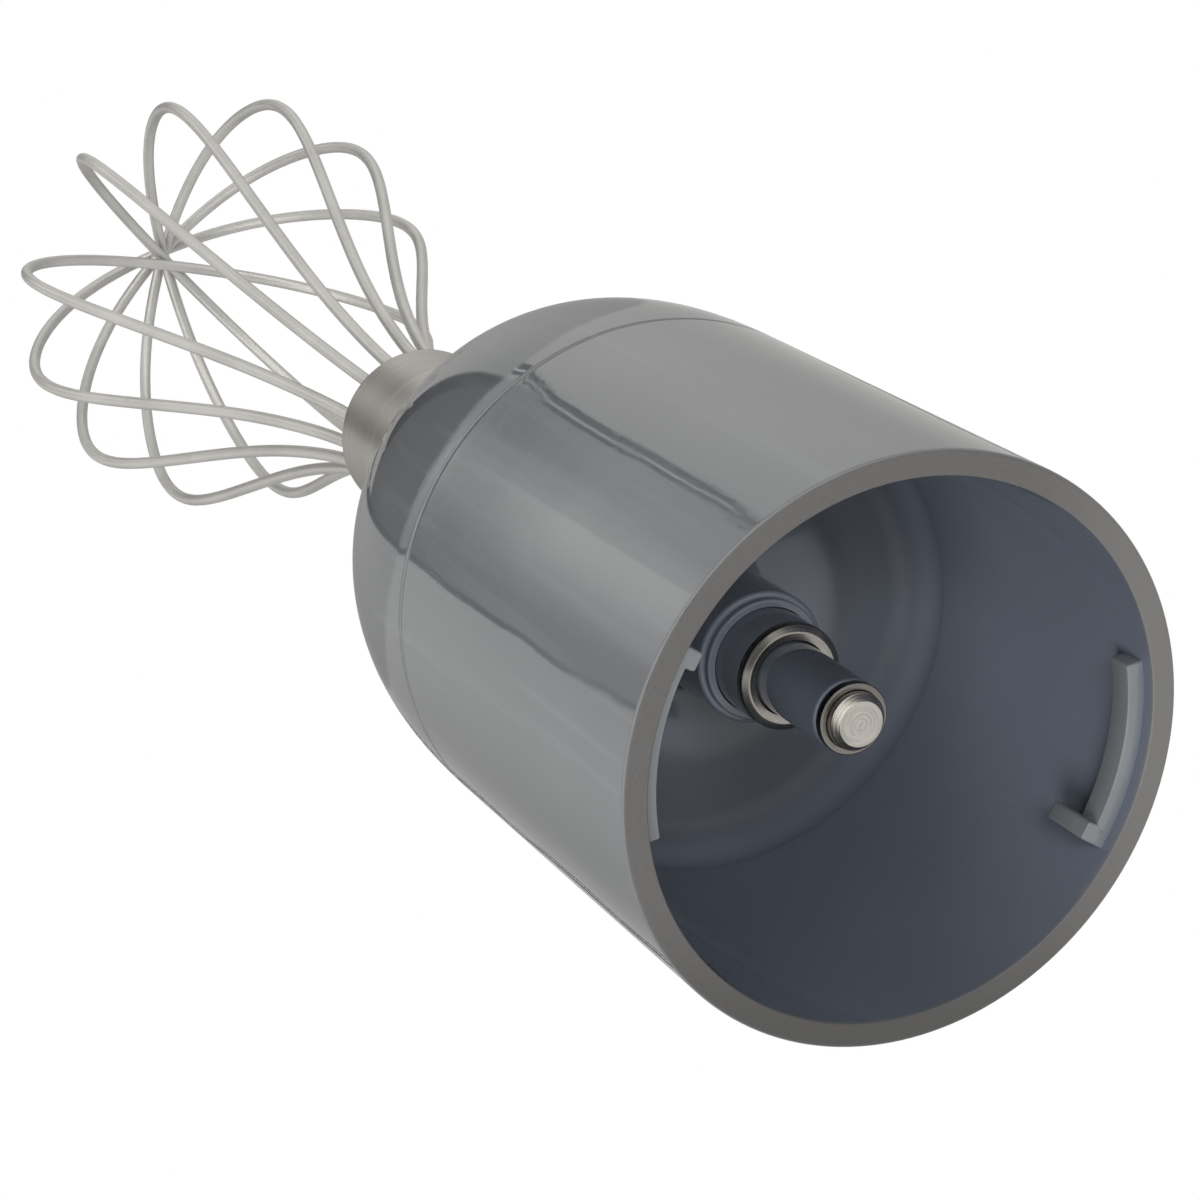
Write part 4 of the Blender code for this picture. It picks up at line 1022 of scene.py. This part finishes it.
class WHISK_OT_wires(bpy.types.Operator):
    """Build the wire loops, one under the other where they cross at the crown"""

    bl_idname = "whisk.wires"
    bl_label = "Build wire loops"

    def execute(self, context):
        size = context.scene.whisk_sizes
        colours = context.scene.finishes
        steel = drawn_wire("whisk_wire_steel", colours.wire)
        hub_top = HUB_HIGH.z
        for number in range(size.loops):
            crown = hub_top + size.reach - number * WIRE_STACKING
            control = [(radius * MM, hub_top + height * MM) for radius, height in WIRE_OUTLINE]
            control += [(size.crown_radius, crown), (0.0, crown)]
            half = [Vector((control[0][0], hub_top - WIRE_GRIP)), *bspline(control, WIRE_STEPS)]
            outline = [tuple(point) for point in half]
            outline += [(-radius, height) for radius, height in reversed(outline[:-1])]
            angle = loop_direction(size, number)
            way = Vector(polar(1.0, angle))
            side_way = Vector((-sin(angle), cos(angle), 0.0))
            path = [way * across + Vector((0, 0, up)) for across, up in outline]
            mesh_data = tube(path, size.wire_radius, WIRE_SIDES, side_way)
            wire = add_piece(f"wire_{number + 1}", mesh_data, steel, WIRE_SHARP_ANGLE)
            dress(wire, "whisk", f"wire_loop_{number + 1}")
        return {"FINISHED"}


class WHISK_OT_gear_train(bpy.types.Operator):
    """Give the gears, pins, washers, bushes, shafts and screws their finishes"""

    bl_idname = "whisk.gear_train"
    bl_label = "Finish gear train"

    def execute(self, context):
        colours = context.scene.finishes
        finishes = {
            "gear_plastic": gear_plastic("gear_moulding", colours.gear),
            "turned_steel": turned_metal("machine_steel", colours.steel, 0.28, 2600.0),
            "bronze": sintered_metal("bearing_bronze", colours.bronze),
            "seal_rubber": seal_rubber("lip_seal_rubber", colours.rubber),
        }
        slots = {part["node"]: part["material_slot"] for part in frame["record"]["subparts"]}
        for name, node in frame["nodes"].items():
            if not node.hide_render:
                node.data.materials.clear()
                node.data.materials.append(finishes[slots[name]])
        return {"FINISHED"}


# Stage


def add_lamp(name, place, target, size, power):
    """A soft square lamp that looks at a point and lights without being seen."""
    light = bpy.data.lights.new(name, "AREA")
    light.size = size
    light.energy = power
    lamp = add_object(name, light)
    lamp.location = place
    lamp.rotation_euler = (Vector(target) - Vector(place)).to_track_quat("-Z", "Y").to_euler()
    lamp.visible_camera = False
    lamp.visible_glossy = False


def add_shell(name, paint, light, azimuths, elevations):
    """Part of a far sphere that glows and only shows in glossy surfaces, by its directions."""
    rows, columns = 24, 96
    vertices, faces = [], []
    for row in range(rows + 1):
        elevation = radians(elevations[0] + (elevations[1] - elevations[0]) * row / rows)
        for column in range(columns + 1):
            azimuth = radians(azimuths[0] + (azimuths[1] - azimuths[0]) * column / columns)
            height = TENT_RADIUS * sin(elevation)
            vertices.append(polar(TENT_RADIUS * cos(elevation), azimuth, height))
    for row in range(rows):
        for column in range(columns):
            corner = row * (columns + 1) + column
            faces.append((corner, corner + columns + 1, corner + columns + 2, corner + 1))
    scaled = {"Vector": TENT_WHITE, "Scale": light}
    colour = paint.node("ShaderNodeVectorMath", {"operation": "SCALE"}, scaled)
    glow = paint.node("ShaderNodeEmission", None, {"Color": colour, "Strength": 1.0})
    paint.node("ShaderNodeOutputMaterial", None, {"Surface": glow})
    paint.material.cycles.emission_sampling = "NONE"
    shell = add_piece(name, (vertices, faces), paint.material)
    shell.visible_camera = False
    shell.visible_diffuse = False
    shell.visible_transmission = False
    shell.visible_shadow = False


class Sky:
    """Places on the light tent as seen from the whisk: 0 straight up, 1 at the horizon."""

    def __init__(self, paint, radius):
        self.paint = paint
        self.east = paint.x * (1 / radius)
        self.north = paint.y * (1 / radius)

    def beyond(self, line, soft=0.012, sway=0.0):
        """1 on the left of a line through two places, 0 on its right."""
        return self.paint.grade(self.distance(line) - sway, -soft, soft)

    def stroke(self, line, width, soft=0.006, sway=0.0):
        """1 within half a width of the line through two places."""
        off = self.distance(line) - sway
        return self.paint.grade(off * off, (width / 2 + soft) ** 2, max(width / 2 - soft, 0.0) ** 2)

    def distance(self, line):
        """How far the tent's places lie to the left of a line."""
        start, end = line
        along = (Vector(end) - Vector(start)).normalized()
        return (self.north - start[1]) * along.x - (self.east - start[0]) * along.y


def add_surroundings(scene, size):
    """A white world: white to the eye and in reflections, dimmer as a light."""
    world = bpy.data.worlds.new("white_room")
    world.use_nodes = True
    scene.world = world
    shader = Shader(world.node_tree)
    rays = [shader.node("ShaderNodeLightPath", output=name)
            for name in ("Is Camera Ray", "Is Glossy Ray", "Is Transmission Ray")]
    seen = shader.grade(rays[0] + rays[1] + rays[2], 0.0, 1.0)
    strength = size.sky + seen * (1.0 - size.sky)
    light = shader.node("ShaderNodeBackground", None, {"Color": (1.0, 1.0, 1.0), "Strength": strength})
    shader.node("ShaderNodeOutputWorld", None, {"Surface": light})


def add_light_tent():
    """A white tent that only glossy surfaces show, with its darker window, seam and shutter.

    Its levels and places are set so that the plastic mirrors what the photo shows."""
    paint = Finish("tent_cloth")
    sky = Sky(paint, TENT_RADIUS)
    far = (sky.east * sky.east + sky.north * sky.north) ** 0.5
    low = paint.grade(far, *COLLAR_ZONE)
    cloth = paint.grade(sky.north, -0.25, 0.36, 1.3, 0.58) + sky.east * 0.25
    cloth = cloth * (0.72 + low * 0.28)
    sway = (paint.noise(1.0, 1.0, paint.at(far * 45.0, 0.3, 0.7)) - 0.5) * low * 0.06
    seam_sway = sway + paint.grade(far, 0.527, 0.545, 0.0, 0.05)
    bar_sway = sway + paint.grade(far, 0.474, 0.455, 0.0, 0.045)
    bar_sway = bar_sway - paint.grade(far, 0.53, 0.545, 0.0, 0.02)
    window = sky.beyond(WINDOW_LEFT, sway=seam_sway) * sky.beyond(WINDOW_RIGHT)
    window = window * (1 - sky.beyond(WINDOW_TOP))
    right_half = sky.beyond(WINDOW_POST, 0.004)
    lit = paint.grade(sky.east, -0.33, 0.0, 0.5, 2.2)
    lit = lit + right_half * (paint.grade(sky.east, 0.04, 0.2, 1.7, 1.1) - lit)
    near_seam = paint.grade(far, 0.465, 0.457, 0.0, 0.5)
    pane = 0.12 + low * (paint.grade(far, 0.462, 0.50, 0.5, 1.0) * lit + near_seam - 0.12)
    shutter = (1 - sky.beyond(SHUTTER_LEFT)) * sky.beyond(SHUTTER_RIGHT)
    shutter = shutter * (1 - sky.beyond(SHUTTER_TOP)) * (1 - low)
    bars = sky.stroke(BAR, 0.030, 0.003, bar_sway) + sky.stroke(BAR, 0.018, 0.003, bar_sway - 0.034)
    bars = bars * low
    gleam = sky.stroke(BAR, 0.005, 0.002, bar_sway - 0.020) * low
    seam = sky.stroke(WINDOW_LEFT, 0.02, sway=seam_sway)
    slit = sky.stroke(SHUTTER_SLIT, 0.02, 0.01) * paint.grade(far, 0.28, 0.36)
    light = cloth + window * (pane - cloth)
    light = light * (1 - shutter * (1 - slit * 0.35)) * (1 - bars * 0.95) * (1 - seam * 0.9) + gleam
    add_shell("light_tent", paint, light, (0, 360), (90, 32))


def add_low_reflectors():
    """A bright strip below the horizon and the dark place where the photographer stands."""
    paint = Finish("strip_light")
    across = paint.z * (1 / TENT_RADIUS)
    edge = paint.grade(across, -0.70, -0.55) * paint.grade(across, 0.04, -0.06)
    edge = edge * paint.grade(paint.y * (1 / TENT_RADIUS), 0.05, -0.5)
    add_shell("strip_reflector", paint, 1 + edge * 1.6, (-185, 5), (4, -46))
    paint = Finish("photographer_shade")
    off = paint.grade(paint.y * (1 / TENT_RADIUS), -0.12, -0.30)
    add_shell("photographer_card", paint, 1 - off * 0.8, (-130, -50), (-46, -78))


def add_floor(size):
    """A pale floor that is there only for an eye above it, and fades out far away."""
    paint = Finish("pale_floor")
    seen = paint.node("ShaderNodeLightPath", output="Is Camera Ray")
    under = paint.node("ShaderNodeNewGeometry", output="Backfacing")
    fade = paint.grade(paint.radius, size.floor_radius * 0.25, size.floor_radius * 0.97, 1.0, 0.0)
    clear = paint.node("ShaderNodeBsdfTransparent")
    pale = paint.node("ShaderNodeBsdfDiffuse", None, {"Color": size.floor_colour})
    mixed = paint.node("ShaderNodeMixShader", None, {0: seen * (1 - under) * fade, 1: clear, 2: pale})
    paint.node("ShaderNodeOutputMaterial", None, {"Surface": mixed})
    sides = range(FLOOR_SIDES)
    ring = [polar(size.floor_radius, TURN * side / FLOOR_SIDES, FLOOR_LEVEL) for side in sides]
    floor = add_piece("floor", (ring, [tuple(sides)]), paint.material)


def add_camera(scene, size):
    """The camera below and in front of the mouth, as in the photograph."""
    data = bpy.data.cameras.new("camera")
    data.sensor_width = SENSOR_WIDTH
    data.lens = size.camera_lens
    data.shift_x, data.shift_y = size.camera_shift
    data.clip_start, data.clip_end = CLIP_START, CLIP_END
    camera = add_object("camera", data)
    camera.location = size.camera_place
    camera.rotation_euler = size.camera_turn
    scene.camera = camera


class WHISK_OT_stage(bpy.types.Operator):
    """Set up the pale floor, the white surroundings, the lamps and the camera"""

    bl_idname = "whisk.stage"
    bl_label = "Set up stage"

    def execute(self, context):
        size = context.scene.stage_sizes
        context.scene.view_settings.view_transform = "Standard"
        add_surroundings(context.scene, size)
        add_floor(size)
        add_light_tent()
        add_low_reflectors()
        for name, place, aim, width, power in LAMPS:
            add_lamp(name, place, (0.0, 0.0, aim), width, power)
        add_camera(context.scene, size)
        return {"FINISHED"}


# Add-on


OPERATORS = (
    WHISK_OT_collar,
    WHISK_OT_nose,
    WHISK_OT_cavity_floor,
    WHISK_OT_drive_line,
    WHISK_OT_ferrule,
    WHISK_OT_wires,
    WHISK_OT_gear_train,
    WHISK_OT_stage,
)


class WHISK_PT_studio(bpy.types.Panel):
    """The pieces of the whisk attachment"""

    bl_label = "Whisk attachment"
    bl_idname = "WHISK_PT_studio"
    bl_space_type = "VIEW_3D"
    bl_region_type = "UI"
    bl_category = "Whisk"

    def draw(self, context):
        for operator in OPERATORS:
            self.layout.operator(operator.bl_idname)
        for name, group in GROUPS.items():
            box = self.layout.box()
            box.label(text=group.__doc__)
            for setting in group.__annotations__:
                box.prop(getattr(context.scene, name), setting)


def register():
    for item in (*GROUPS.values(), *OPERATORS, WHISK_PT_studio):
        bpy.utils.register_class(item)
    for name, group in GROUPS.items():
        setattr(bpy.types.Scene, name, PointerProperty(type=group))


def unregister():
    for name in GROUPS:
        delattr(bpy.types.Scene, name)
    for item in reversed((*GROUPS.values(), *OPERATORS, WHISK_PT_studio)):
        bpy.utils.unregister_class(item)


def main():
    register()
    for operator in OPERATORS:
        group, name = operator.bl_idname.split(".")
        getattr(getattr(bpy.ops, group), name)()


if __name__ == "__main__":
    main()
